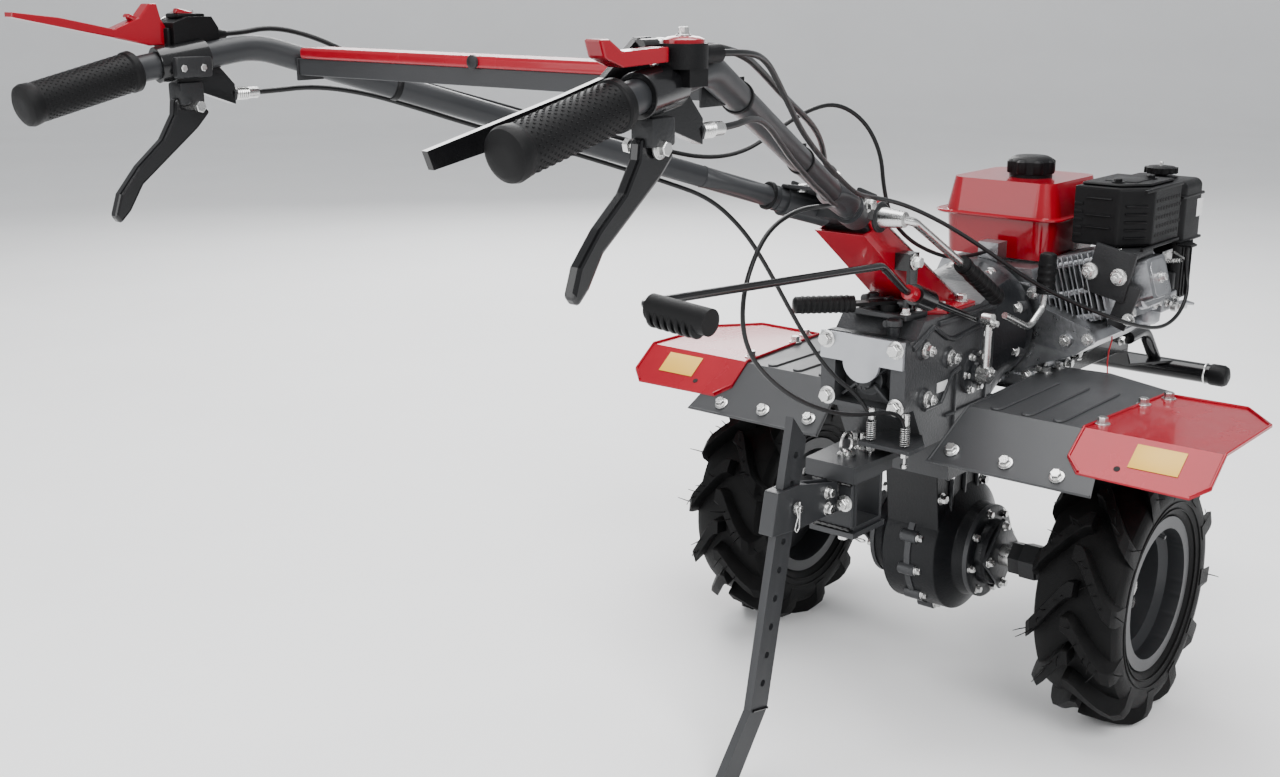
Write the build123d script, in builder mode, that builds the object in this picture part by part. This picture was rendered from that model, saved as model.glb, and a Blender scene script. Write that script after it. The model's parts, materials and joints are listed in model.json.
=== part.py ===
"""Two-wheel walk-behind tractor: chassis with engine, two driven wheels, height-adjustable
handlebar and a parking stake. All sizes in mm. +X forward, +Y to the left, +Z up.
The origin is on the ground under the middle of the machine's footprint; the wheel axle is
AX in front of it, and every x below is measured from the axle."""

from build123d import *
from math import atan2, cos, hypot, pi, radians, sin, tan
import os

os.makedirs("parts", exist_ok=True)

# ---------------------------------------------------------------- driving dimensions
AX = 385.0              # axle, in front of the origin
TYRE_R = 200.0          # 4.00-8 lug tyre
TYRE_IN = 239.0         # inner side of the tyre from the centre plane
TYRE_OUT = 369.0        # outer side
RIM_R = 116.0           # rim flange
BEAD_R = 102.0          # bead seat, an 8 inch rim
DISC_Y = 290.0          # wheel disc, measured from the centre plane
SHAFT_R = 17.0          # axle shafts
SHAFT_GAP = 0.08        # running clearance of a shaft, radial

CRANK_Z = 556.0         # crankshaft height
BELL_X = 76.0           # engine face, forward of the axle
GEAR_REAR = -257.0      # rear power take-off face
GEAR_W = 134.0          # width of the gearbox
GEAR_TOP = 600.0
PTO_Y = 114.0           # rear bolt pattern, across
PTO_Z = 85.0            # rear bolt pattern, up
PTO_MID_Z = 525.5
PTO_HOLE_R = 4.5

FENDER_Z = 471.0        # upper face of the fenders
SHEET = 2.0             # fender sheet
FENDER_IN = 92.0
FENDER_MID = 310.0
WING_IN = 286.0
WING_OUT = 483.0

WEB_W = 80.0            # steering column channel
COLUMN_T = 5.0
PIVOT_X = -294.0        # handlebar hinge
PIVOT_Z = 757.0
PIN_R = 7.0
PIN_GAP = 0.1

BAR_R = 14.0            # handlebar tube
BAR_T = 2.5             # its wall
GRIP_R = 20.0
GRIP_Y = 334.0
CROSS_X = -985.0
CROSS_Z = 986.0

STAKE_W = 40.0          # parking stake, flat bar, along the machine
STAKE_T = 12.0          # across
STAKE_HOLE = 40.0       # pitch of its holes
STAKE_GAP = 0.5         # sliding clearance in its holder
CABLE_R = 3.0

TOP = Plane((AX, 0, 0))
SIDE = Plane((AX, 0, 0), x_dir=(1, 0, 0), z_dir=(0, -1, 0))
REAR = Plane((AX, 0, 0), x_dir=(0, 1, 0), z_dir=(1, 0, 0))


def side_plane(y):
    """Plane of constant y; sketches on it use x from the axle and z."""
    return SIDE.offset(-y)


def rear_plane(x):
    """Plane of constant x from the axle; sketches on it use y and z."""
    return REAR.offset(x)


def top_plane(z):
    """Plane of constant height; sketches on it use x from the axle and y."""
    return TOP.offset(z)


def keep(part, name):
    part.label = name
    export_step(part, f"parts/{name}.step")


def block(x, y, z, edge=0.0):
    """Box between three (low, high) pairs, with its upright and level edges rounded."""
    with BuildPart() as piece:
        with BuildSketch(top_plane(z[0])):
            with Locations(((x[0] + x[1]) / 2, (y[0] + y[1]) / 2)):
                Rectangle(x[1] - x[0], y[1] - y[0])
        extrude(amount=z[1] - z[0])
        if edge:
            fillet(piece.edges(), radius=edge)
    return piece.part


def round_bar(points, radii, radius):
    """Round bar or cable along straight runs joined by arcs."""
    with BuildPart() as piece:
        with BuildLine(TOP) as route:
            if len(points) > 2:
                FilletPolyline(*points, radius=radii)
            else:
                Line(*points)
        with BuildSketch(Plane(route.line @ 0, z_dir=route.line % 0)):
            Circle(radius)
        sweep()
    return piece.part


def disc(x, y, z, direction, radius, length):
    """Cylinder that starts at a point and runs along a direction."""
    with BuildPart() as piece:
        with BuildSketch(Plane((AX + x, y, z), z_dir=direction)):
            Circle(radius)
        extrude(amount=length)
    return piece.part


def keep_pair(left, name):
    """One node that holds a left piece and its mirror image."""
    keep(Compound(children=[left, mirror(left, about=Plane.XZ)]), name)


def both_sides(maker, name):
    """A left piece and its mirror image on the right."""
    left = maker()
    keep(left, f"left_{name}")
    keep(mirror(left, about=Plane.XZ), f"right_{name}")


# ---------------------------------------------------------------- wheels
TYRE_MID = (TYRE_IN + TYRE_OUT) / 2
TYRE_HALF = (TYRE_OUT - TYRE_IN) / 2
RIM_HALF = TYRE_HALF - 16
AXLE = Axis((AX, 0, TYRE_R), (0, 1, 0))
WHEEL_SKETCH = Plane((AX, 0, TYRE_R), x_dir=(0, 1, 0), z_dir=(1, 0, 0))


def tyre():
    """Closed carcass of the lug tyre, out to the tips of its lugs."""
    half = [
        (RIM_HALF - 1, BEAD_R),
        (RIM_HALF - 1, RIM_R + 2),
        (RIM_HALF + 6, RIM_R + 6),
        (TYRE_HALF, RIM_R + 34),
        (TYRE_HALF, TYRE_R - 26),
        (TYRE_HALF - 10, TYRE_R - 6),
        (TYRE_HALF - 26, TYRE_R),
    ]
    outer = [(TYRE_MID + y, r) for y, r in half]
    inner = [(TYRE_MID - y, r) for y, r in reversed(half)]
    with BuildPart() as piece:
        with BuildSketch(WHEEL_SKETCH):
            with BuildLine():
                Polyline(*outer, *inner, close=True)
            make_face()
        revolve(axis=AXLE)
    return piece.part


def rim():
    """Pressed rim with a deep disc, hub sleeve and four wheel bolt holes."""
    wall = 3.5
    seat = BEAD_R - 0.3
    with BuildPart() as piece:
        with BuildSketch(WHEEL_SKETCH):
            with BuildLine():
                Polyline(
                    (TYRE_MID - RIM_HALF, seat),
                    (TYRE_MID + RIM_HALF, seat),
                    (TYRE_MID + RIM_HALF, RIM_R),
                    (TYRE_MID + RIM_HALF + 5, RIM_R),
                    (TYRE_MID + RIM_HALF + 5, seat - wall),
                    (TYRE_MID + RIM_HALF - 20, seat - wall),
                    (TYRE_MID + RIM_HALF - 30, seat - wall - 12),
                    (DISC_Y + 4, seat - wall - 14),
                    (DISC_Y + 4, SHAFT_R + 10),
                    (DISC_Y + 14, SHAFT_R + 10),
                    (DISC_Y + 14, SHAFT_R),
                    (DISC_Y - 70, SHAFT_R),
                    (DISC_Y - 70, SHAFT_R + 8),
                    (DISC_Y, SHAFT_R + 8),
                    (DISC_Y, seat - wall - 8),
                    (TYRE_MID - RIM_HALF + 12, seat - wall - 4),
                    (TYRE_MID - RIM_HALF - 5, seat - wall),
                    (TYRE_MID - RIM_HALF - 5, RIM_R),
                    (TYRE_MID - RIM_HALF, RIM_R),
                    close=True,
                )
            make_face()
        revolve(axis=AXLE)
        with BuildSketch(Plane((AX, DISC_Y - 1, TYRE_R), z_dir=(0, 1, 0))):
            with PolarLocations(58, 4, start_angle=45):
                Circle(9)
        extrude(amount=8, mode=Mode.SUBTRACT)
    return piece.part


def axle_shaft():
    return disc(0, 66, TYRE_R, (0, 1, 0), SHAFT_R, DISC_Y + 22 - 66)


both_sides(tyre, "tyre")
both_sides(rim, "rim")
both_sides(axle_shaft, "axle_shaft")

# ---------------------------------------------------------------- gearbox
BELL_Z = 547.0
BELL_R = 98.0
HALF_W = GEAR_W / 2
CABLE_END_Z = 432.0     # plate under the rear face where the two clutch cables end
with BuildPart() as gearbox_case:
    with BuildSketch(side_plane(HALF_W)):
        Polygon(
            (-244, 474),
            (-244, 577),
            (-225, 577),
            (-205, GEAR_TOP),
            (-40, GEAR_TOP),
            (10, 618),
            (10, 450),
            (-10, 340),
            (-110, 340),
            (-120, 410),
            (-190, 410),
            (-225, 474),
            align=None,
        )
    extrude(amount=GEAR_W)
    with BuildSketch(rear_plane(GEAR_REAR)):
        with Locations((0, PTO_MID_Z)):
            RectangleRounded(PTO_Y + 26, PTO_Z + 26, 14)
    extrude(amount=14)
    with BuildSketch(rear_plane(GEAR_REAR)):
        with Locations((0, PTO_MID_Z - 12)):
            Rectangle(92, 72)
    extrude(amount=30, mode=Mode.SUBTRACT)
    with BuildSketch(rear_plane(10)):
        with Locations((0, 534)):
            Rectangle(GEAR_W, 168)
    with BuildSketch(rear_plane(BELL_X - 14)):
        with Locations((0, BELL_Z)):
            Circle(BELL_R)
    loft()
    with BuildSketch(rear_plane(BELL_X - 14)):
        with Locations((0, BELL_Z)):
            Circle(BELL_R)
    extrude(amount=14)
    with BuildSketch(rear_plane(GEAR_REAR)):
        with Locations((0, PTO_MID_Z)):
            with GridLocations(PTO_Y, PTO_Z, 2, 2):
                Circle(PTO_HOLE_R)
    extrude(amount=24, mode=Mode.SUBTRACT)
    with BuildSketch(top_plane(CABLE_END_Z - 6)):
        Polygon((-282, -96), (-282, -12), (-196, -12), (-196, -66), (-240, -96), align=None)
    extrude(amount=6)
keep(gearbox_case.part, "gearbox_case")

with BuildPart() as pto_cover:
    with BuildSketch(rear_plane(GEAR_REAR - 6)):
        with Locations((0, PTO_MID_Z + 34)):
            Rectangle(PTO_Y + 22, 40)
        with Locations((0, PTO_MID_Z + 16)):
            Circle(30)
        with Locations((0, PTO_MID_Z)):
            with GridLocations(PTO_Y, PTO_Z, 2, 2):
                Circle(PTO_HOLE_R, mode=Mode.SUBTRACT)
    extrude(amount=6)
keep(pto_cover.part, "pto_cover")

with BuildPart() as final_drive_case:
    with BuildSketch(WHEEL_SKETCH):
        Polygon(
            (-104, 10),
            (-104, 50),
            (-80, 52),
            (-80, 72),
            (-62, 76),
            (-45, 104),
            (45, 104),
            (62, 76),
            (80, 72),
            (80, 52),
            (104, 50),
            (104, 10),
            align=None,
        )
    revolve(axis=AXLE)
    with BuildSketch(side_plane(45)):
        Polygon((-92, 250), (-105, 340), (-12, 340), (80, 262), (92, 200), (-92, 200), align=None)
    extrude(amount=90)
    with BuildSketch(Plane((AX, -110, TYRE_R), z_dir=(0, 1, 0))):
        Circle(SHAFT_R + SHAFT_GAP)
    extrude(amount=220, mode=Mode.SUBTRACT)
keep(final_drive_case.part, "final_drive_case")

# ---------------------------------------------------------------- engine
ENGINE_X = 84.0
ENGINE_END = 285.0
CYL_X = 185.0
CYL_TILT = 16.5
with BuildPart() as engine_block:
    with BuildSketch(rear_plane(ENGINE_X)):
        Polygon(
            (90, 450),
            (90, 590),
            (70, 636),
            (-85, 636),
            (-104, 580),
            (-185, 556),
            (-200, 540),
            (-165, 512),
            (-90, 482),
            (-90, 450),
            align=None,
        )
    extrude(amount=ENGINE_END - ENGINE_X)
    with BuildSketch(rear_plane(BELL_X)):
        with Locations((0, BELL_Z)):
            Circle(BELL_R - 6)
    extrude(amount=ENGINE_X - BELL_X)
    with BuildSketch(top_plane(620)):
        with Locations((99, -10)):
            Rectangle(30, 34)
    extrude(amount=50)
keep(engine_block.part, "engine_block")

CYL_PLANE = Plane((AX + CYL_X, 0, CRANK_Z), x_dir=(1, 0, 0), z_dir=(0, -1, 0)).rotated(
    (-CYL_TILT, 0, 0)
)
with BuildPart() as cylinder:
    with BuildSketch(CYL_PLANE.offset(112)):
        with Locations((0, 31)):
            Rectangle(116, 62)
    extrude(amount=78)
    with BuildSketch(CYL_PLANE.offset(190)):
        with Locations((0, 4)):
            RectangleRounded(124, 112, 10)
    extrude(amount=28)
    with BuildSketch(rear_plane(ENGINE_X)):
        Polygon((-85, 660), (-85, 636), (-104, 580), (-185, 556), (-200, 540), (-200, 400), (0, 400),
                (0, 660), align=None)
    extrude(amount=ENGINE_END - ENGINE_X, mode=Mode.SUBTRACT)
keep(cylinder.part, "cylinder")
with BuildPart() as head_cover:
    with BuildSketch(CYL_PLANE.offset(218.5)):
        with Locations((-8, 2)):
            RectangleRounded(98, 88, 16)
    extrude(amount=12)
    with BuildSketch(CYL_PLANE.offset(230.5)):
        with Locations((-8, 2)):
            RectangleRounded(84, 74, 14)
    extrude(amount=30, taper=12)
keep(head_cover.part, "head_cover")

with BuildPart() as fan_housing:
    with BuildSketch(rear_plane(ENGINE_END)):
        with Locations((0, CRANK_Z - 10)):
            Circle(88)
        Polygon((-125, 585), (-60, 470), (0, 500), (0, 634), (-100, 634), align=None)
    extrude(amount=52)
keep(fan_housing.part, "fan_housing")
with BuildPart() as recoil_starter:
    with BuildSketch(rear_plane(ENGINE_END + 52)):
        with Locations((0, CRANK_Z - 10)):
            Circle(84)
    extrude(amount=34)
    fillet(recoil_starter.faces().sort_by(Axis.X)[-1].edges(), radius=12)
keep(recoil_starter.part, "recoil_starter")

with BuildPart() as fuel_tank:
    with BuildSketch(top_plane(640)):
        with Locations((225, 5)):
            RectangleRounded(184, 180, 24)
    extrude(amount=64, taper=-4)
    with BuildSketch(top_plane(704)):
        with Locations((225, 5)):
            RectangleRounded(212, 216, 30)
    extrude(amount=4)
    with BuildSketch(top_plane(708)):
        with Locations((225, 5)):
            RectangleRounded(194, 196, 34)
    extrude(amount=52, taper=12)
keep(fuel_tank.part, "fuel_tank")
keep(disc(218, -9, 760, (0, 0, 1), 39, 34), "fuel_cap")

with BuildPart() as muffler_guard:
    with BuildSketch(top_plane(676)):
        Polygon((130, -125), (130, -197), (172, -235), (278, -235), (278, -125), align=None)
    extrude(amount=89)
keep(muffler_guard.part, "muffler_guard")

with BuildPart() as air_cleaner:
    with BuildSketch(top_plane(666)):
        with Locations((331, -178)):
            RectangleRounded(88, 114, 16)
    extrude(amount=96)
    fillet(air_cleaner.faces().sort_by(Axis.Z)[-1].edges(), radius=12)
    with BuildSketch(top_plane(572)):
        with Locations((338, -180)):
            RectangleRounded(66, 96, 14)
    extrude(amount=94)
    with BuildSketch(top_plane(663)):
        Polygon((276, -258), (276, -236), (320, -214), (330, -214), (330, -234), (300, -258), align=None)
    extrude(amount=3)
keep(air_cleaner.part, "air_cleaner")
keep(block((248, 305), (-232, -170), (560, 590), 4), "carburettor")

FRAME_Z = 450.0
FRAME_X = (78.0, 458.0)
RAIL_Y = 98.0           # outer face of the rails
RAIL_T = 6.0
with BuildPart() as engine_frame:
    with BuildSketch(top_plane(FRAME_Z - RAIL_T)):
        with Locations(((FRAME_X[0] + FRAME_X[1]) / 2, 0)):
            Rectangle(FRAME_X[1] - FRAME_X[0], 2 * RAIL_Y)
        with Locations((215, 0)):
            Rectangle(150, 90, mode=Mode.SUBTRACT)
        with Locations((395, 0)):
            Rectangle(70, 130, mode=Mode.SUBTRACT)
    extrude(amount=RAIL_T)
    for y in (RAIL_Y, RAIL_T - RAIL_Y):
        with BuildSketch(side_plane(y)):
            Polygon((172, FRAME_Z), (172, 466), (300, 469), (FRAME_X[1], 482), (FRAME_X[1], FRAME_Z),
                    align=None)
        extrude(amount=RAIL_T)
keep(engine_frame.part, "engine_frame")

BUMPER_X = 550.0
BUMPER_Z = 398.0
BUMPER_R = 17.0
BRACE_R = 11.0
BRACE_Y = RAIL_Y + BRACE_R + 1
with BuildPart() as bumper_tube:
    with BuildSketch(Plane((AX + BUMPER_X, -240, BUMPER_Z), z_dir=(0, 1, 0))):
        Circle(BUMPER_R)
    extrude(amount=480)
    fillet(bumper_tube.edges().filter_by(GeomType.CIRCLE), radius=8)
BRACE = round_bar(
    [(425, BRACE_Y, 470), (492, BRACE_Y, 474), (BUMPER_X - 4, BRACE_Y + 6, BUMPER_Z + 6)], [46], BRACE_R
)
with BuildPart() as front_bumper:
    add(bumper_tube.part)
    add(BRACE)
    add(mirror(BRACE, about=Plane.XZ, mode=Mode.PRIVATE))
    for y in (BRACE_Y, -RAIL_Y):
        with BuildSketch(side_plane(y)):
            with Locations((440, 470)):
                Rectangle(32, 18)
        extrude(amount=BRACE_Y - RAIL_Y)
    with BuildSketch(top_plane(BUMPER_Z + 12)):
        Polygon((470, -RAIL_Y), (470, RAIL_Y), (BUMPER_X - 4, 150), (BUMPER_X - 4, -150), align=None)
    extrude(amount=4)
    with BuildSketch(side_plane(RAIL_Y)):
        Polygon((FRAME_X[1], 438), (FRAME_X[1], 444), (430, 444), (430, 440), (452, 440), (470, 410),
                (480, 410), (480, 414), (474, 414), align=None)
    extrude(amount=2 * RAIL_Y)
keep(front_bumper.part, "front_bumper")


# ---------------------------------------------------------------- fenders
FOLD_X = -142.0
TAIL_X = -228.0
TAIL_Z = 405.0


def bent_sheet(outline, thickness):
    """Level sheet with its rear folded down, trimmed to a plan outline.
    A positive thickness lies above the fender face, a negative one below."""
    slope = atan2(FENDER_Z - TAIL_Z, FOLD_X - TAIL_X)
    shift = thickness * tan(slope / 2)
    with BuildPart() as plan:
        with BuildSketch(top_plane(380)):
            Polygon(*outline, align=None)
        extrude(amount=150)
    with BuildPart() as piece:
        with BuildSketch(side_plane(60)):
            Polygon(
                (200, FENDER_Z),
                (FOLD_X, FENDER_Z),
                (TAIL_X, TAIL_Z),
                (TAIL_X - thickness * sin(slope), TAIL_Z + thickness * cos(slope)),
                (FOLD_X - shift, FENDER_Z + thickness),
                (200, FENDER_Z + thickness),
                align=None,
            )
        extrude(amount=-440)
        add(plan.part, mode=Mode.INTERSECT)
    return piece.part


def fender():
    """Dark inner sheet: level top, rear slope."""
    outline = [
        (-240, FENDER_IN),
        (TAIL_X, FENDER_IN),
        (FOLD_X, FENDER_IN + 15),
        (161, 97),
        (171, 188),
        (125, 305),
        (60, FENDER_MID),
        (-110, FENDER_MID),
        (TAIL_X, 340),
        (-240, 340),
    ]
    return bent_sheet(outline, -SHEET)


def wing():
    """Red outer sheet, laid over the edge of the inner one."""
    outline = [
        (-203, WING_IN + 20),
        (-184, WING_IN - 2),
        (FOLD_X, WING_IN),
        (96, FENDER_MID - 4),
        (99, 427),
        (30, WING_OUT),
        (-188, WING_OUT),
        (-205, 461),
    ]
    return bent_sheet(outline, SHEET)


keep_pair(fender(), "fenders")
keep_pair(wing(), "fender_wings")

# ---------------------------------------------------------------- steering column
HALF_WEB = WEB_W / 2
EAR_R = 22.0
with BuildPart() as handlebar_column:
    with BuildSketch(side_plane(HALF_WEB)):
        Polygon((-332, 736), (-153, 606), (-56, 606), (-270, 742), (-300, 742), align=None)
        with Locations((PIVOT_X, PIVOT_Z)):
            Circle(EAR_R)
    extrude(amount=WEB_W)
    with BuildSketch(side_plane(HALF_WEB - COLUMN_T)):
        Polygon((-334, 744), (-144, 606), (-20, 606), (-220, 790), (-334, 790), align=None)
    extrude(amount=WEB_W - 2 * COLUMN_T, mode=Mode.SUBTRACT)
    with BuildSketch(side_plane(WEB_W)):
        with Locations((PIVOT_X, PIVOT_Z)):
            Circle(PIN_R)
    extrude(amount=2 * WEB_W, mode=Mode.SUBTRACT)
    with BuildSketch(top_plane(GEAR_TOP)):
        Polygon((-165, -44), (-165, 44), (-140, 66), (-54, 66), (-45, 40), (-45, -40), (-54, -66),
                (-140, -66), align=None)
    extrude(amount=6)
keep(handlebar_column.part, "handlebar_column")

# The clamp: a spindle through both ears and the hub, with a hand lever on its right end.
with BuildPart() as clamp_spindle:
    with BuildSketch(side_plane(HALF_WEB + 12)):
        with Locations((PIVOT_X, PIVOT_Z)):
            Circle(PIN_R)
    extrude(amount=WEB_W + 24)
    with BuildSketch(side_plane(HALF_WEB + 10)):
        with Locations((PIVOT_X, PIVOT_Z)):
            RegularPolygon(12, 6)
    extrude(amount=10)
LEVER_START = (PIVOT_X + 14, -86, PIVOT_Z - 4)
LEVER_MID = (-160, -95, 681)
with BuildPart() as clamp_lever:
    with BuildSketch(side_plane(-HALF_WEB)):
        with Locations((PIVOT_X, PIVOT_Z)):
            Circle(15)
    extrude(amount=40, taper=6)
    add(clamp_spindle.part)
    add(round_bar([(PIVOT_X, -74, PIVOT_Z), LEVER_START, LEVER_MID], [12], 6))
keep(clamp_lever.part, "clamp_lever")
with BuildPart() as clamp_grip:
    with BuildSketch(Plane((AX + LEVER_MID[0], LEVER_MID[1], LEVER_MID[2]), z_dir=(110, -5, -68))):
        Circle(12)
    extrude(amount=125)
    add(clamp_lever.part, mode=Mode.SUBTRACT)
keep(clamp_grip.part, "clamp_grip")

# ---------------------------------------------------------------- hitch and parking stake
PLATE_Z = 401.0
BOX_X = (-318, -244)
BOX_Z = (308, 385)
with BuildPart() as drawbar_plate:
    with BuildSketch(top_plane(PLATE_Z)):
        Polygon((-334, -41), (-334, 41), (-190, 48), (-122, 48), (-122, -48), (-190, -48), align=None)
        with Locations((-292, 0)):
            Circle(8, mode=Mode.SUBTRACT)
    extrude(amount=8.5)
with BuildPart() as hitch_box:
    with BuildSketch(side_plane(33)):
        with Locations(((BOX_X[0] + BOX_X[1]) / 2, (BOX_Z[0] + BOX_Z[1]) / 2)):
            RectangleRounded(BOX_X[1] - BOX_X[0], BOX_Z[1] - BOX_Z[0], 4)
            Rectangle(BOX_X[1] - BOX_X[0] - 14, BOX_Z[1] - BOX_Z[0] - 14, mode=Mode.SUBTRACT)
    extrude(amount=66)
    with BuildSketch(top_plane(BOX_Z[1])):
        with Locations((-283, 0)):
            Rectangle(102, 82)
    extrude(amount=8)
    with BuildSketch(top_plane(BOX_Z[0] - 8)):
        with Locations((-283, 0)):
            Rectangle(84, 74)
    extrude(amount=8)
    with BuildSketch(top_plane(PLATE_Z)):
        with Locations((-292, 0)):
            Circle(8)
    extrude(amount=-120, mode=Mode.SUBTRACT)
with BuildPart() as hitch_bracket:
    with BuildSketch(top_plane(BOX_Z[1] + 8)):
        with Locations((-283, 0)):
            Rectangle(102, 82)
        with Locations((-292, 0)):
            Circle(8, mode=Mode.SUBTRACT)
    extrude(amount=PLATE_Z - BOX_Z[1] - 8)
    add(hitch_box.part)
    add(drawbar_plate.part)
keep(hitch_bracket.part, "hitch_bracket")
with BuildPart() as hitch_pin:
    with BuildSketch(top_plane(284)):
        with Locations((-292, 0)):
            Circle(7.5)
    extrude(amount=PLATE_Z + 8.5 - 284)
    with BuildSketch(top_plane(PLATE_Z + 8.5)):
        with Locations((-292, 0)):
            Circle(13)
    extrude(amount=4)
keep(hitch_pin.part, "hitch_pin")

# The stake is a flat bar with a bent foot; x and z of its middle line.
STAKE_TOP = (-421, 480)
STAKE_BEND = (-502, 95)
STAKE_LONG = hypot(STAKE_TOP[1] - STAKE_BEND[1], STAKE_TOP[0] - STAKE_BEND[0])
STAKE_FRAME = Plane(
    (AX + STAKE_BEND[0], 0, STAKE_BEND[1]),
    x_dir=(STAKE_TOP[0] - STAKE_BEND[0], 0, STAKE_TOP[1] - STAKE_BEND[1]),
    z_dir=(0, -1, 0),
)
with BuildPart() as parking_stake:
    with BuildSketch(STAKE_FRAME.offset(-STAKE_T / 2)):
        Polygon(
            (0, -STAKE_W / 2),
            (STAKE_LONG - 14, -STAKE_W / 2),
            (STAKE_LONG + 16, STAKE_W / 2),
            (0, STAKE_W / 2),
            align=None,
        )
    extrude(amount=STAKE_T)
    with BuildSketch(side_plane(STAKE_T / 2)):
        Polygon((-521.5, 99), (-482.5, 91), (-552, 0), (-585, 21), align=None)
    extrude(amount=STAKE_T)
    with BuildSketch(STAKE_FRAME.offset(-STAKE_T)):
        with Locations(*[(STAKE_LONG - 36 - STAKE_HOLE * i, 0) for i in range(9)]):
            Circle(5)
    extrude(amount=2 * STAKE_T, mode=Mode.SUBTRACT)
keep(parking_stake.part, "parking_stake")

HOLD_S = STAKE_LONG - 116
HOLD_T = STAKE_T / 2 + STAKE_GAP
STRAP = 5.0
with BuildPart() as stake_holder:
    with BuildSketch(side_plane(HOLD_T + STRAP)):
        Polygon((-476, 403), (-430, 403), (-338, 384), (-326, 384), (-326, 338), (-420, 338), (-488, 344),
                align=None)
    extrude(amount=2 * HOLD_T + 2 * STRAP)
    with BuildSketch(side_plane(HOLD_T)):
        Polygon((-400, 420), (-400, 320), (-332, 320), (-332, 420), align=None)
    extrude(amount=2 * HOLD_T, mode=Mode.SUBTRACT)
    with BuildSketch(STAKE_FRAME.offset(-HOLD_T)):
        with Locations((HOLD_S, 0)):
            Rectangle(160, STAKE_W + 2 * STAKE_GAP)
    extrude(amount=2 * HOLD_T, mode=Mode.SUBTRACT)
    with BuildSketch(rear_plane(-326)):
        with Locations((0, 347)):
            Rectangle(64, 66)
    extrude(amount=8)
keep(stake_holder.part, "stake_holder")

# ---------------------------------------------------------------- gear levers
SHIFT_Y = -78.0
with BuildPart() as shift_rod:
    add(
        round_bar(
            [
                (-842, SHIFT_Y - 66, 726),
                (-842, SHIFT_Y, 731),
                (-345, SHIFT_Y, 701.5),
                (-282, SHIFT_Y, 658),
                (-76, SHIFT_Y, 584),
            ],
            [14, 30, 60],
            5,
        )
    )
keep(shift_rod.part, "shift_rod")
with BuildPart() as shift_grip:
    with BuildSketch(Plane((AX - 842, SHIFT_Y - 16, 729.8), z_dir=(0, -66, -5))):
        Circle(15)
    extrude(amount=80)
    add(shift_rod.part, mode=Mode.SUBTRACT)
keep(shift_grip.part, "shift_grip")
with BuildPart() as shift_guide:
    with BuildSketch(side_plane(-HALF_WEB)):
        with Locations((-236, 690)):
            Rectangle(26, 24)
    extrude(amount=24)
    with BuildSketch(side_plane(-HALF_WEB - 18)):
        Polygon((-247, 702), (-225, 702), (-226, 640), (-246, 640), align=None)
    extrude(amount=6)
    with BuildSketch(Plane((AX - 258, SHIFT_Y, 649.4), z_dir=(206, 0, -74))):
        Circle(15)
    extrude(amount=46)
    add(shift_rod.part, mode=Mode.SUBTRACT)
keep(shift_guide.part, "shift_guide")
with BuildPart() as shift_link:
    add(round_bar([(-66, SHIFT_Y - 16, 584), (-66, SHIFT_Y - 16, 500)], [], 5))
    for z, r in ((500, 11), (584, 9)):
        with BuildSketch(side_plane(SHIFT_Y - 8)):
            with Locations((-66, z)):
                Circle(r)
        extrude(amount=16)
    with BuildSketch(side_plane(-HALF_W)):
        with Locations((-66, 500)):
            Circle(8)
    extrude(amount=SHIFT_Y * -1 + 8 - HALF_W)
keep(shift_link.part, "shift_link")
with BuildPart() as range_lever:
    with BuildSketch(top_plane(GEAR_TOP)):
        with Locations((-205, -10)):
            Circle(14)
    extrude(amount=20)
    with BuildSketch(Plane((AX - 205, -10, 620), x_dir=(-64, 40, 0), z_dir=(0, 0, 1))):
        with Locations((30, 0)):
            Rectangle(74, 20)
    extrude(amount=5)
    with BuildSketch(Plane((AX - 254, 20, 622.5), z_dir=(-64, 60, 0))):
        Circle(12)
    extrude(amount=84)
keep(range_lever.part, "range_lever")
with BuildPart() as drive_lever:
    add(round_bar([(-50, -112, 590), (20, -118, 560), (58, -120, 585), (62, -120, 606)], [24, 12], 5))
keep(drive_lever.part, "drive_lever")
with BuildPart() as drive_grip:
    with BuildSketch(Plane((AX + 62, -120, 606), z_dir=(4, 0, 50))):
        Circle(13)
    extrude(amount=58)
    add(drive_lever.part, mode=Mode.SUBTRACT)
keep(drive_grip.part, "drive_grip")

# ---------------------------------------------------------------- handlebar
BAR_START = (-330, 25, 763)
BAR_PATH = [
    (-404, 56, 786),
    (-1034, 313, 998),
    (-1165, GRIP_Y, 978),
    (-1290, GRIP_Y + 1, 949),
]
GRIP_AXIS = (-122, 1, -28.3)


def solid_bar():
    """Outer form of a handlebar tube, flattened next to the hub."""
    a = Vector(AX + BAR_PATH[0][0], BAR_PATH[0][1], BAR_PATH[0][2])
    b = Vector(AX + BAR_PATH[1][0], BAR_PATH[1][1], BAR_PATH[1][2])
    along = (b - a).normalized()
    flat = along.cross(Vector(0, 0, 1)).normalized()
    with BuildPart() as piece:
        for s, wide, thick in ((0, 16, 16), (42, 25, 12), (118, 14.5, 14.5)):
            with BuildSketch(Plane(a + along * s, x_dir=flat, z_dir=along)):
                Ellipse(wide, thick)
        loft()
        add(round_bar(BAR_PATH, BAR_RADII, BAR_R))
    return piece.part


BAR_RADII = [90, 130]
BAR_SOLID = solid_bar()
# Both bars as solid forms, to cut their seats in the pieces they carry.
BAR_SEATS = [BAR_SOLID, mirror(BAR_SOLID, about=Plane.XZ)]
with BuildPart() as left_tube:
    add(BAR_SOLID)
    add(round_bar(BAR_PATH, BAR_RADII, BAR_R - BAR_T), mode=Mode.SUBTRACT)


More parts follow.
